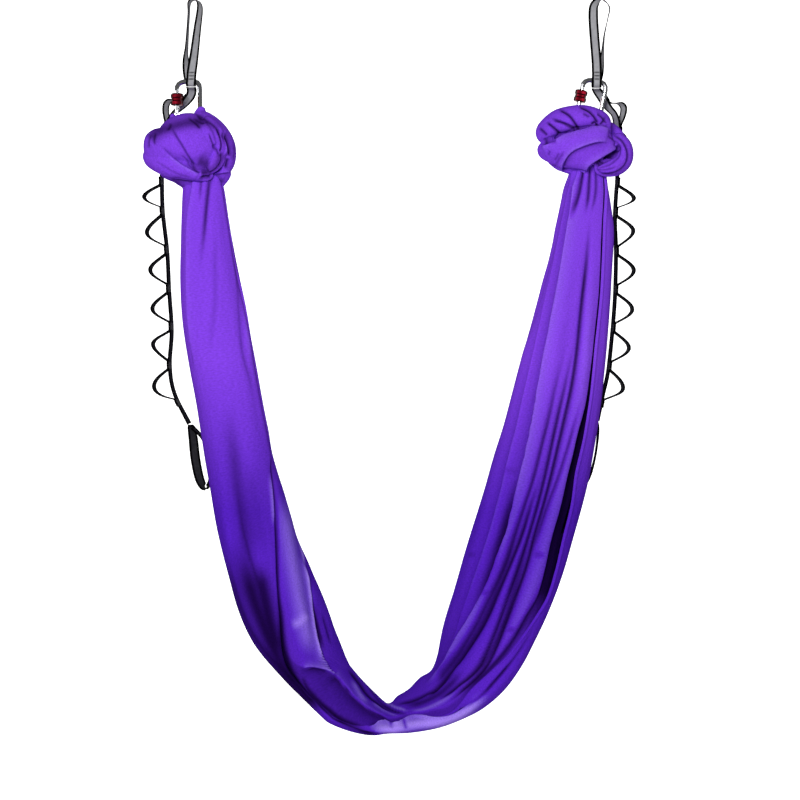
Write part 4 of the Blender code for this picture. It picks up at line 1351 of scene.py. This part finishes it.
# Folds of the left knot's front; dark and pale are the strengths of their painted shade and painted highlight
LEFT_FOLDS = (
    crease(3.4, 2.2, (0.2, 0.02), 0.7, (-48, -250), (-38, -268), (-22, -294), (-8, -319), (12, -346)),
    lap(-3, 2.4, (0.45, 0.02), 0.7, 0.5, 3, (-64, -296), (-44, -314), (-22, -330), (10, -347)),
    crease(2.4, 2, (0.3, 0.05), 0.45, (-30, -306), (-20, -316), (-6, -330), (8, -343)),
    crease(2, 2, (0.3, 0.4), 0.35, (-66, -292), (-52, -306), (-40, -316)),
    crease(1.6, 2.4, (0.3, 0.2), 0.25, (-84, -318), (-60, -334), (-30, -350), (0, -356)),
    crease(2.2, 2.6, (0.2, 0.3), 0.7, (-78, -262), (-81, -280), (-77, -292)),
    crease(2.6, 2.6, (0.2, 0.3), 0.6, (-88, -266), (-92, -284), (-90, -300)),
    crease(3, 3, (0.2, 0.4), 0.8, (-47, -244), (-51, -254), (-57, -262)),
    hollow(1.5, 13, (0.1, 0.2), 0.75, (-92, -282), (-76, -264), (-44, -252), (-12, -244), (14, -244),
        (34, -254)),
    crease(3, 3, (0.25, 0.2), 0.8, (-14, -232), (4, -244), (14, -258)),
    crease(2.4, 2.6, (0.2, 0.2), 0.7, (0, -224), (20, -238), (36, -248), (50, -262), (55, -280)),
    crease(2, 2.4, (0.3, 0.3), 0.6, (-4, -232), (10, -240), (24, -248)),
    hollow(1, 9, (0.2, 0.3), 0.55, (2, -230), (22, -240), (40, -252), (52, -266)),
    crease(4.5, 2.6, (0.25, 0.1), 0.7, (29, -262), (34, -280), (42, -297), (50, -309)),
    crease(6, 2.6, (0.2, 0.1), 0.9, (45, -254), (53, -272), (56, -292), (50, -304)),
    lap(3, 2.2, (0.2, 0.3), 0.4, 0.4, 3, (60, -258), (63, -280), (62, -300), (54, -318)),
    hollow(8, 4.6, (0.2, 0.15), 1, (61, -262), (68, -282), (72, -300), (73, -314)),
    hollow(6, 4, (0.2, 0.3), 0.95, (70, -316), (67, -326), (64, -340)),
    crease(3, 2.4, (0.3, 0.3), 0.35, (80, -286), (83, -304), (80, -322)),
    hollow(0.6, 15, (0.3, 0.3), 0.75, (4, -318), (20, -326), (36, -328)),
    hollow(4, 8, (0.15, 0.1), 0.85, (52, -300), (53, -316), (45, -333), (30, -343), (12, -348)),
    lap(-3.4, 2.4, (0.2, 0.1), 0.8, 0.5, 4, (54, -306), (54, -320), (44, -336), (28, -346)),
    lap(3.6, 2.4, (0.15, 0.15), 0.7, 0.2, 5, (10, -353), (38, -349), (76, -344)),
    crease(6, 3.4, (0.25, 0.1), 0.95, (8, -360), (30, -356), (40, -362), (50, -380)),
    hollow(3, 9, (0.2, 0.3), 0.7, (40, -358), (52, -364), (60, -372)),
    crease(3, 2.6, (0.25, 0.2), 0.6, (-44, -356), (-14, -362), (10, -366)),
    hollow(1.5, 8, (0.2, 0.1), 0.7, (-50, -360), (-30, -372), (-16, -386)),
)
RIGHT_KNOT_CENTRE = (784, 0, -280)
RIGHT_BANDS = (
    band(5, 1.2, 41, (-97, -4, 3, 20, 14), (-80, -14, 15, 29, 22), (-56, -22, 31, 32, 26),
        (-28, -29, 37, 32, 27), (-4, -32, 39, 30, 26), (24, -26, 32, 27, 24), (43, -14, 22, 20, 17)),
    band(5, 1.2, 42, (-95, -8, -21, 14, 12), (-73, -27, -25, 24, 20), (-40, -40, -29, 32, 24),
        (-8, -46, -25, 36, 25), (24, -44, -11, 29, 22), (48, -32, -3, 18, 16)),
    band(6, 1.6, 43, (50, -26, 6, 16, 14), (70, -22, -16, 24, 20), (70, -22, -44, 26, 20),
        (44, -34, -58, 20, 19), (14, -42, -58, 13, 12)),
    band(6, 2, 44, (-80, 8, -22, 14, 12), (-52, -2, -42, 20, 18), (-18, -6, -55, 19, 18),
        (20, -2, -62, 19, 18), (48, 2, -56, 18, 16)),
    band(11, 4, 45, (-80, 12, 6, 26, 16), (-46, 34, 16, 38, 24), (0, 44, 16, 42, 26), (44, 34, 4, 38, 22),
        (74, 8, -20, 28, 16)),
    band(8, 3.5, 46, (-46, 26, -36, 24, 18), (0, 40, -40, 28, 22), (44, 34, -42, 26, 20),
        (70, 6, -44, 20, 14)),
    band(4, 1, 47, (-44, 0, 4, 40, 38), (0, 0, 4, 50, 44), (44, 0, -10, 44, 40)),
    band(3, 1, 49, (10, -16, -24, 20, 18), (42, -16, -26, 22, 18), (66, -8, -24, 20, 16)),
    band(6, 2, 48, (-4, -2, -44, 32, 28), (0, 2, -62, 32, 18), (1, 8, -80, 31, 8)),
)
# Folds of the right knot's front; dark and pale are the strengths of their painted shade and painted
# highlight
RIGHT_FOLDS = (
    lap(-6.5, 2.6, (0.05, 0.05), 0.85, 0.35, 5, (694, -294), (723, -282), (754, -268), (784, -259),
        (808, -256), (832, -262)),
    crease(5, 2.8, (0.15, 0.02), 0.95, (728, -216), (748, -228), (760, -244), (770, -264)),
    crease(4, 2.4, (0.2, 0.02), 0.8, (712, -234), (738, -246), (762, -265)),
    crease(3.4, 2.2, (0.2, 0.02), 0.68, (716, -239), (742, -247), (768, -263)),
    crease(5, 2.8, (0.15, 0.05), 0.95, (703, -242), (723, -260), (736, -277)),
    crease(4, 3, (0.2, 0.2), 0.8, (688, -254), (700, -266), (706, -274)),
    crease(6, 4, (0.15, 0.2), 0.95, (696, -284), (712, -284), (728, -282)),
    crease(5.5, 3, (0.15, 0.1), 0.95, (769, -211), (789, -219), (801, -231), (810, -248)),
    crease(4, 2.6, (0.2, 0.2), 0.8, (806, -224), (822, -236), (828, -248)),
    crease(4, 2.6, (0.2, 0.3), 0.8, (814, -252), (822, -240), (826, -230)),
    crease(3.2, 3.2, (0.3, 0.3), 0.64, (776, -226), (784, -228), (794, -235)),
    crease(5, 2.4, (0.15, 0.15), 0.95, (796, -252), (802, -245), (808, -252), (802, -257)),
    lap(4.5, 2.6, (0.06, 0.2), 0.85, 0.35, 5, (738, -344), (740, -326), (754, -306), (777, -294),
        (807, -285), (832, -285)),
    crease(2.2, 2.4, (0.3, 0.3), 0.44, (714, -300), (708, -312)),
    crease(2.2, 2.4, (0.3, 0.3), 0.44, (732, -304), (721, -323)),
    crease(2.2, 2.4, (0.3, 0.3), 0.44, (742, -300), (728, -322), (722, -334)),
    lap(8.5, 2.8, (0.03, 0.12), 0.85, 0.35, 5, (783, -346), (789, -329), (815, -312), (838, -297),
        (852, -286)),
    crease(3.6, 2.6, (0.1, 0.2), 0.72, (788, -338), (812, -324), (836, -308), (856, -290)),
    crease(4, 2.6, (0.1, 0.1), 0.8, (834, -266), (856, -280), (868, -303), (866, -328), (846, -346),
        (815, -352), (790, -348)),
    crease(2.4, 2.6, (0.2, 0.2), 0.48, (838, -272), (850, -290), (848, -312), (828, -330), (796, -340)),
    crease(2.4, 2.2, (0.15, 0.3), 0.48, (792, -344), (824, -341), (852, -332)),
    crease(3, 2.6, (0.2, 0.2), 0.6, (826, -270), (842, -284), (834, -292)),
)

@dataclass(frozen=True)
class StrapSection:
    """Section of the flat webbing, in millimetres, with rounded edges."""

    width: float = 20.0
    thick: float = 1.8
    edge_steps: int = 4
    face_steps: int = 5

    def outline(self) -> np.ndarray:
        """Outline of the section.

        Returns:
            Places round it as (across, through), in millimetres.
        """
        half, through = self.width / 2, self.thick / 2
        flat = half - through
        face = np.linspace(-flat, flat, self.face_steps)
        turn = np.linspace(math.pi / 2, -math.pi / 2, self.edge_steps + 2)[1:-1]
        right = [(flat + through * math.cos(t), through * math.sin(t)) for t in turn]
        left = [(-flat - through * math.cos(t), -through * math.sin(t)) for t in turn]
        top = [(x, through) for x in face]
        bottom = [(x, -through) for x in reversed(face)]
        return np.array(top + right + bottom + left)


@dataclass(frozen=True)
class Strap:
    """A run of webbing along a route of (x, y, z, turn of its width from X in degrees)."""

    section: StrapSection = StrapSection()
    step: float = 2.6
    sharp_angle: float = 50.0

    def mesh(
        self,
        name: str,
        centres: np.ndarray,
        across: np.ndarray,
        material: bpy.types.Material,
        closed: bool = False,
    ) -> bpy.types.Object:
        """Sweep the webbing's section along a path.

        Args:
            name: The piece's name.
            centres: Path places in millimetres.
            across: Directions of the strap's width.
            material: The webbing's finish.
            closed: Whether the path joins up with itself.

        Returns:
            The strap, with U across it and V along it in metres.
        """
        ahead = directions(centres, closed)
        flat = unit(across - ahead * np.sum(across * ahead, axis=1)[:, None])
        normal = np.cross(ahead, flat)
        outline = self.section.outline()
        places = (
            centres[:, None, :]
            + flat[:, None, :] * outline[None, :, 0:1]
            + normal[:, None, :] * outline[None, :, 1:2]
        )
        rows, columns = len(centres), len(outline)
        faces = grid_faces(rows, columns, around=True, along=closed)
        reach = path_lengths(centres)
        last = np.linalg.norm(centres[0] - centres[-1])
        corner_uvs = []
        for face in faces:
            wraps = max(f // columns for f in face) == rows - 1 and min(f // columns for f in face) == 0
            for corner in face:
                row = corner // columns
                along = reach[-1] + last if wraps and row == 0 else reach[row]
                corner_uvs.append((outline[corner % columns, 0] * MM, along * MM))
        if not closed:
            faces.append(tuple(reversed(range(columns))))
            faces.append(tuple(range((rows - 1) * columns, rows * columns)))
            for face in faces[-2:]:
                corner_uvs += [(outline[c % columns, 0] * MM, outline[c % columns, 1] * MM) for c in face]
        made = make_mesh(name, places.reshape(-1, 3) * MM, faces, material, np.array(corner_uvs))
        made.data.set_sharp_from_angle(angle=math.radians(self.sharp_angle))
        turn_outwards(made.data)
        return made

    def path(self, route: Routes, closed: bool = False) -> tuple[np.ndarray, np.ndarray]:
        """Path of the strap, spread evenly by length.

        Args:
            route: The strap's route.
            closed: Whether the route joins up with itself.

        Returns:
            Places, and directions of the strap's width.
        """
        if closed:
            looped = list(route[-1:]) + list(route) + list(route[:2])
            curve = smooth_curve(looped)[12:-12]
        else:
            curve = smooth_curve(route)
        picked = spread(curve, int(path_lengths(curve[:, :3])[-1] / self.step) + 2)
        if closed:
            picked = picked[:-1]
        return picked[:, :3], level_ways(picked[:, 3])

    def sewing_line(self, route: Routes) -> tuple[np.ndarray, np.ndarray, np.ndarray, np.ndarray]:
        """Close places of a route for what is sewn on it.

        Args:
            route: The strap's route.

        Returns:
            Places, directions of the width, directions ahead, and lengths from the start.
        """
        base = spread(smooth_curve(route), 700)
        return base[:, :3], level_ways(base[:, 3]), directions(base[:, :3]), path_lengths(base[:, :3])


@dataclass(frozen=True)
class TackStitches:
    """Bar tacks: close rows of thread sewn through both plies, made with Geometry Nodes."""

    thread_radius: float = 0.34
    rows: int = 9
    tack_width: float = 15.0
    slant: float = 0.12
    seed: int = 3

    def tree(self) -> bpy.types.NodeTree:
        """Make the nodes that lay one short thread on each given point, along its own direction.

        Returns:
            The node tree.
        """
        tree = bpy.data.node_groups.new("bar_tack_threads", "GeometryNodeTree")
        for title, way, kind in (
            ("Geometry", "INPUT", "Geometry"),
            ("Thread Length", "INPUT", "Float"),
            ("Thread Radius", "INPUT", "Float"),
            ("Finish", "INPUT", "Material"),
            ("Geometry", "OUTPUT", "Geometry"),
        ):
            tree.interface.new_socket(title, in_out=way, socket_type=f"NodeSocket{kind}")
        given = add_node(tree, "NodeGroupInput").outputs
        along, upward = (
            add_node(tree, "GeometryNodeInputNamedAttribute", {"data_type": "FLOAT_VECTOR", "Name": title})
            for title in ("thread_way", "strap_face")
        )
        turn = "FunctionNodeAlignRotationToVector"
        first = add_node(tree, turn, {"axis": "X"}, {"Vector": along.outputs["Attribute"]})
        second = add_node(
            tree,
            turn,
            {"axis": "Z", "pivot_axis": "X"},
            {"Rotation": first.outputs["Rotation"], "Vector": upward.outputs["Attribute"]},
        )
        ball = add_node(tree, "GeometryNodeMeshUVSphere", {"Segments": 8, "Rings": 4, "Radius": 1.0})
        lengths = {"data_type": "FLOAT", 2: 0.85, 3: 1.1, "Seed": self.seed}
        vary = add_node(tree, "FunctionNodeRandomValue", lengths)
        long = add_node(
            tree, "ShaderNodeMath", {"operation": "MULTIPLY"}, {0: given["Thread Length"], 1: vary.outputs[1]}
        )
        half = add_node(tree, "ShaderNodeMath", {"operation": "MULTIPLY", 1: 0.5}, {0: long.outputs[0]})
        radius = given["Thread Radius"]
        size = add_node(tree, "ShaderNodeCombineXYZ", links={"X": half.outputs[0], "Y": radius, "Z": radius})
        laid = add_node(
            tree,
            "GeometryNodeInstanceOnPoints",
            links={
                "Points": given["Geometry"],
                "Instance": ball.outputs["Mesh"],
                "Rotation": second.outputs["Rotation"],
                "Scale": size.outputs["Vector"],
            },
        )
        real = add_node(tree, "GeometryNodeRealizeInstances", links={"Geometry": laid.outputs["Instances"]})
        smooth = add_node(tree, "GeometryNodeSetShadeSmooth", links={"Geometry": real.outputs["Geometry"]})
        finish = {"Geometry": smooth.outputs["Geometry"], "Material": given["Finish"]}
        dressed = add_node(tree, "GeometryNodeSetMaterial", links=finish)
        add_node(tree, "NodeGroupOutput", links={0: dressed.outputs["Geometry"]})
        return tree

    def sew(
        self,
        name: str,
        tree: bpy.types.NodeTree,
        spots: list[tuple[Vector, Vector, Vector]],
        length: float,
        material: bpy.types.Material,
    ) -> bpy.types.Object:
        """Sew threads at the given spots and turn them into a plain mesh.

        Args:
            name: The piece's name.
            tree: The node tree of the threads.
            spots: Place, thread direction and facing of each thread, in millimetres.
            length: Thread length in millimetres.
            material: The thread's finish.

        Returns:
            The threads as one mesh.
        """
        points = bpy.data.meshes.new(name)
        points.from_pydata([tuple(spot[0] * MM) for spot in spots], [], [])
        for title, index in (("thread_way", 1), ("strap_face", 2)):
            held = points.attributes.new(title, "FLOAT_VECTOR", "POINT")
            held.data.foreach_set("vector", np.array([tuple(s[index]) for s in spots], np.float32).ravel())
        sewn = link_object(name, points)
        modifier = sewn.modifiers.new("threads", "NODES")
        modifier.node_group = tree
        values = {"Thread Length": length * MM, "Thread Radius": self.thread_radius * MM, "Finish": material}
        for item in tree.interface.items_tree:
            if item.in_out == "INPUT" and item.name in values:
                modifier[item.identifier] = values[item.name]
        return link_object(name, apply_modifiers(sewn))

    def tack(self, centre: Vector, ahead: Vector, side: Vector, thick: float, length: float) -> list:
        """Spots of one bar tack: rows of thread along the strap, on both of its faces.

        Args:
            centre: Middle of the tack, in millimetres.
            ahead: Direction along the strap.
            side: Direction of its width.
            thick: How far each face's threads lie from the middle.
            length: The tack's length.

        Returns:
            Place, thread direction and facing of each thread.
        """
        spots = []
        face = ahead.cross(side).normalized()
        for row in range(self.rows):
            across = (row / (self.rows - 1) - 0.5) * self.tack_width
            way = (ahead + side * self.slant * (-1) ** row).normalized()
            for step in (-1, 0, 1):
                along = step * length / 3.2 + (0.8 if row % 2 else -0.8)
                for sign in (1, -1):
                    place = centre + side * across + ahead * along + face * (sign * thick)
                    spots.append((place, way, face * sign))
        return spots


@dataclass(frozen=True)
class ChainFinishes:
    """Finishes of a webbing chain, and the node tree of its threads.

    The hanging tail has a darker copy of the webbing, a painted shade, because it turns less of its face to
    the light."""

    webbing: bpy.types.Material
    hanging: bpy.types.Material
    thread: bpy.types.Material
    tree: bpy.types.NodeTree


@dataclass(frozen=True)
class Stretch:
    """A stretch of base webbing with sewn pockets.

    In millimetres: its route, where the tacks start, how far the pockets bulge, and the gap
    between the plies."""

    piece: str
    solid: str
    route: Routes
    tacks: Sequence[float]
    bulge: float
    gap: float


@dataclass
class DaisyChain:
    """One webbing chain: anchor loop, the stretch behind the knot, and the hanging tail."""

    side: str
    loop: Routes
    upper: Routes
    tail: Routes
    end_loop: Routes
    strap: Strap = Strap()
    stitches: TackStitches = TackStitches()
    ply_gap: float = 0.6
    twisted_ply_gap: float = 3.4
    tack_length: float = 15.0
    tack_stitch: float = 15.0 / 2.6
    upper_bulge: float = 26.0
    tail_bulge: float = 37.0
    upper_tacks: tuple[float, ...] = (34, 104, 178)
    tail_tacks: tuple[float, ...] = (5, 66, 145, 223, 300, 378, 456)
    anchor_bars: tuple[float, ...] = (-146.0, -152.5, -159.0)
    bar_rows: tuple[float, ...] = (-1.4, -0.7, 0.0, 0.7, 1.4)
    bar_length: float = 12.0

    def second_ply(self, run: Stretch) -> tuple[np.ndarray, np.ndarray]:
        """Path of the pocket ply: sewn down at the tacks and standing off between them.

        Args:
            run: The stretch.

        Returns:
            Places, and directions of the strap's width.
        """
        places, sides, ahead, reach = self.strap.sewing_line(run.route)
        normal = unit(np.cross(sides, ahead))
        pocket_steps, tack_steps = 26, 6
        stops = []
        for tack, following in zip(run.tacks, run.tacks[1:]):
            stops += [(tack + self.tack_length * i / tack_steps, 0.0) for i in range(tack_steps)]
            start = tack + self.tack_length
            for i in range(pocket_steps):
                t = i / pocket_steps
                stops.append((start + (following - start) * t, run.bulge * math.sin(math.pi * t) ** 1.1))
        stops += [(run.tacks[-1] + self.tack_length * i / tack_steps, 0.0) for i in range(tack_steps + 1)]
        wanted, lift = np.array(stops).T
        away = (self.strap.section.thick + run.gap + lift)[:, None]
        centres = columns_at(wanted, reach, places) + unit(columns_at(wanted, reach, normal)) * away
        return centres, unit(columns_at(wanted, reach, sides))

    def tack_spots(self, run: Stretch) -> list:
        """Spots of the threads in the bar tacks along one stretch.

        Args:
            run: The stretch.

        Returns:
            Place, thread direction and facing of each thread, in millimetres.
        """
        places, sides, ahead, reach = self.strap.sewing_line(run.route)
        thick = self.strap.section.thick
        spots = []
        for tack in run.tacks:
            index = int(np.searchsorted(reach, min(tack + self.tack_length / 2, reach[-1] - 1)))
            way, side = Vector(ahead[index]), Vector(sides[index])
            side = (side - way * side.dot(way)).normalized()
            middle = Vector(places[index]) + side.cross(way).normalized() * (thick + run.gap) / 2
            spots += self.stitches.tack(middle, way, side, thick + run.gap / 2 + 0.05, self.tack_length)
        return spots

    def bar_spots(self) -> list:
        """Spots of the thread bars sewn across the front of the anchor loop, above its lower end.

        Returns:
            Place, thread direction and facing of each thread, in millimetres.
        """
        places, sides, ahead, _ = self.strap.sewing_line(self.loop)
        behind = 1000.0 * (places[:, 1] > 0)
        spots = []
        for height in self.anchor_bars:
            for row in self.bar_rows:
                index = int(np.argmin(np.abs(places[:, 2] - height - row) + behind))
                side = Vector(sides[index])
                face = side.cross(Vector(ahead[index])).normalized()
                face = -face if face.y > 0 else face
                spots.append((Vector(places[index]) + face * self.strap.section.thick / 2, side, face))
        return spots

    def sewn_run(
        self, run: Stretch, body: str, webbing: bpy.types.Material, finishes: ChainFinishes
    ) -> tuple:
        """Make one stretch: its base webbing, its pockets and its bar tacks.

        Args:
            run: The stretch.
            body: The body that it moves with.
            webbing: Finish of its webbing.
            finishes: The chain's finishes.

        Returns:
            The base, its path, the pockets, their path, and the tacks.
        """
        name = f"{self.side}_{run.piece}"
        path, across = self.strap.path(run.route)
        base = self.strap.mesh(f"{name}_webbing", path, across, webbing)
        self.hand_over(base, body, f"{self.side}_{run.solid}_base")
        pocket_path, across = self.second_ply(run)
        pockets = self.strap.mesh(f"{name}_pocket_webbing", pocket_path, across, webbing)
        self.hand_over(pockets, body, f"{self.side}_{run.solid}_pockets")
        spots = self.tack_spots(run)
        tacks = self.stitches.sew(f"{name}_tacks", finishes.tree, spots, self.tack_stitch, finishes.thread)
        self.hand_over(tacks, body)
        return base, path, pockets, pocket_path, tacks

    def build(self, finishes: ChainFinishes) -> None:
        """Make the chain's pieces and say which body each moves with.

        Args:
            finishes: The chain's finishes.
        """
        side = self.side
        centres, across = self.strap.path(self.loop, closed=True)
        anchor = self.strap.mesh(f"{side}_anchor_webbing", centres, across, finishes.webbing, closed=True)
        self.hand_over(anchor, "anchors", f"{side}_anchor_loop")
        bars = self.stitches.sew(
            f"{side}_anchor_tacks", finishes.tree, self.bar_spots(), self.bar_length, finishes.thread
        )
        self.hand_over(bars, "anchors")
        gap = self.twisted_ply_gap
        upper = Stretch("upper", "chain", self.upper, self.upper_tacks, self.upper_bulge, gap)
        self.sewn_run(upper, "sling", finishes.webbing, finishes)
        body = f"{side}_tail"
        hanging = Stretch("tail", "tail", self.tail, self.tail_tacks, self.tail_bulge, self.ply_gap)
        tail, path, pockets, pocket_path, tacks = self.sewn_run(hanging, body, finishes.hanging, finishes)
        centres, across = self.strap.path(self.end_loop, closed=True)
        end = self.strap.mesh(f"{side}_tail_loop_webbing", centres, across, finishes.hanging, closed=True)
        self.hand_over(end, body, f"{side}_tail_end_loop")
        log.info("%s daisy chain: webbing, pockets and tacks", side)

    @staticmethod
    def hand_over(piece: bpy.types.Object, body: str, *nodes: str) -> None:
        """Let a piece of webbing ride on its body and stand for its plain solids."""
        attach(piece, body)
        if nodes:
            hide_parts(*nodes)


@dataclass(frozen=True)
class ScrewLockCarabiner:
    """One steel carabiner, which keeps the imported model's solids and gets its finishes."""

    side: str

    def build(self, steel: bpy.types.Material, anodised: bpy.types.Material) -> None:
        """Dress the carabiner's solids.

        Args:
            steel: Finish of the bar, gate, pin, spring and plunger.
            anodised: Finish of the screw sleeve.
        """
        for part in ("carabiner_body", "gate_pin", "gate", "gate_spring", "gate_plunger"):
            self.dress(f"{self.side}_{part}", steel)
        self.dress(f"{self.side}_screw_sleeve", anodised)
        log.info("%s carabiner: dressed", self.side)

    @staticmethod
    def dress(node: str, material: bpy.types.Material) -> None:
        """Give one solid its finish."""
        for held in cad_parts[node].material_slots:
            held.material = material


@dataclass
class Studio:
    """Plain white studio, in metres: a curved backdrop, soft lights and the camera in front."""

    camera_place: Point = CAMERA_PLACE
    lens: float = 112.5
    sensor: float = 36.0
    floor_height: float = -1.95
    floor_near: float = -1.4
    sheet_start: float = 0.6
    sweep_start: float = 1.4
    sweep_radius: float = 1.6
    sweep_steps: int = 24
    half_width: float = 1.9
    top: float = 0.9
    middle: Point = (0.4, 0.0, -0.8)
    world_glow: float = 0.12

    def camera(self) -> None:
        """Level camera, straight in front, 5 m away."""
        seen = bpy.data.cameras.new("front_camera")
        seen.lens = self.lens
        seen.sensor_width = self.sensor
        made = link_object("front_camera", seen)
        made.location = self.camera_place
        made.rotation_euler = (math.pi / 2, 0.0, 0.0)
        bpy.context.scene.camera = made

    def panel(self, name: str, profile: Routes, paper: str, glow: float) -> None:
        """Sheet of matt white paper as wide as the view.

        Args:
            name: The sheet's name.
            profile: Its places as (y, z).
            paper: The finish's name.
            glow: How strongly it is lit from behind.
        """
        settings = {"Base Color": linear("#F7F7F7"), "Roughness": 0.9, "Emission Color": linear("#FFFFFF")}
        material = new_finish(paper, settings | {"Emission Strength": glow})[0]
        middle = self.camera_place[0]
        places = [(middle + side * self.half_width, y, z) for y, z in profile for side in (-1, 1)]
        make_mesh(name, np.array(places), grid_faces(len(profile), 2), material)

    def backdrop(self) -> None:
        """Sheet lit from behind that curves up from the floor, no wider than the view.

        A wider one would light the cloth's edges from the sides."""
        profile = [(self.sheet_start, self.floor_height)]
        for i in range(self.sweep_steps + 1):
            turn = math.pi / 2 * i / self.sweep_steps
            y = self.sweep_start + self.sweep_radius * math.sin(turn)
            profile.append((y, self.floor_height + self.sweep_radius * (1 - math.cos(turn))))
        profile.append((self.sweep_start + self.sweep_radius, self.top))
        self.panel("studio_backdrop", profile, "backlit_white_sheet", 0.95)

    def light(self, name: str, place: Point, size: float, power: float) -> None:
        """Soft square light that looks at the hammock's middle.

        Args:
            name: The light's name.
            place: Where it stands.
            size: Its side, in metres.
            power: Its power in watts.
        """
        lamp = bpy.data.lights.new(name, "AREA")
        lamp.size = size
        lamp.energy = power
        made = link_object(name, lamp)
        made.location = place
        made.rotation_euler = (Vector(self.middle) - Vector(place)).to_track_quat("-Z", "Y").to_euler()

    def build(self) -> None:
        """Set up the camera, the backdrop, the floor and the lights."""
        self.camera()
        self.backdrop()
        floor = ((self.floor_near, self.floor_height), (self.sheet_start, self.floor_height))
        self.panel("studio_floor", floor, "matt_white_floor", 0.0)
        world = bpy.data.worlds.new("pale_studio")
        world.use_nodes = True
        sky = world.node_tree.nodes["Background"]
        sky.inputs["Color"].default_value = linear("#FFFFFF")
        sky.inputs["Strength"].default_value = self.world_glow
        bpy.context.scene.world = world
        bpy.context.scene.view_settings.view_transform = "Standard"
        self.light("key_softbox", (-0.4, -4.7, 0.3), 1.5, 214)
        self.light("left_softbox", (-3.2, -2.2, 0.3), 1.2, 20)
        self.light("right_softbox", (3.6, -2.6, -0.2), 0.8, 22)


def build_cloth() -> None:
    """Make both knots and the sling cloth between them, and attach them to the sling body."""
    tricot = NylonTricot("violet_nylon_tricot").build()
    knotted = NylonTricot("violet_nylon_tricot_knotted", on_uv=False, crease_mm=7.0).build()
    for turned in (
        ClothKnot("left", LEFT_KNOT_CENTRE, LEFT_BANDS, LEFT_FOLDS),
        ClothKnot("right", RIGHT_KNOT_CENTRE, RIGHT_BANDS, RIGHT_FOLDS),
    ):
        knot = turned.build(knotted)
        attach(knot, "sling")
        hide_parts(f"{turned.side}_knot")
    sling = SlingCloth()
    cloth = sling.build(tricot)
    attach(cloth, "sling")
    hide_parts("sling_cloth")


def main() -> None:
    """Build the studio, then every piece of the hammock, and report each one."""
    logging.basicConfig(level=logging.INFO, format="%(name)s: %(message)s")
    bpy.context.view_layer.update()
    Studio().build()
    finishes = ChainFinishes(
        webbing=NylonWebbing("woven_nylon_webbing").build(),
        # A darker copy of the webbing, painted shade for the hanging tail
        hanging=NylonWebbing("woven_nylon_webbing_painted_shade", "#151517", "#333337").build(),
        thread=SewingThread().build(),
        tree=TackStitches().tree(),
    )
    DaisyChain("left", LEFT_LOOP, LEFT_UPPER, LEFT_TAIL, LEFT_END_LOOP).build(finishes)
    DaisyChain("right", RIGHT_LOOP, RIGHT_UPPER, RIGHT_TAIL, RIGHT_END_LOOP).build(finishes)
    steel = PolishedMetal("polished_plated_steel", "#D6D7DA", "#B9BABE", 0.13).build()
    anodised = PolishedMetal("red_anodised_aluminium", "#7A1020", "#4C0812", 0.3).build()
    for side in ("left", "right"):
        ScrewLockCarabiner(side).build(steel, anodised)
    build_cloth()


if __name__ == "__main__":
    main()
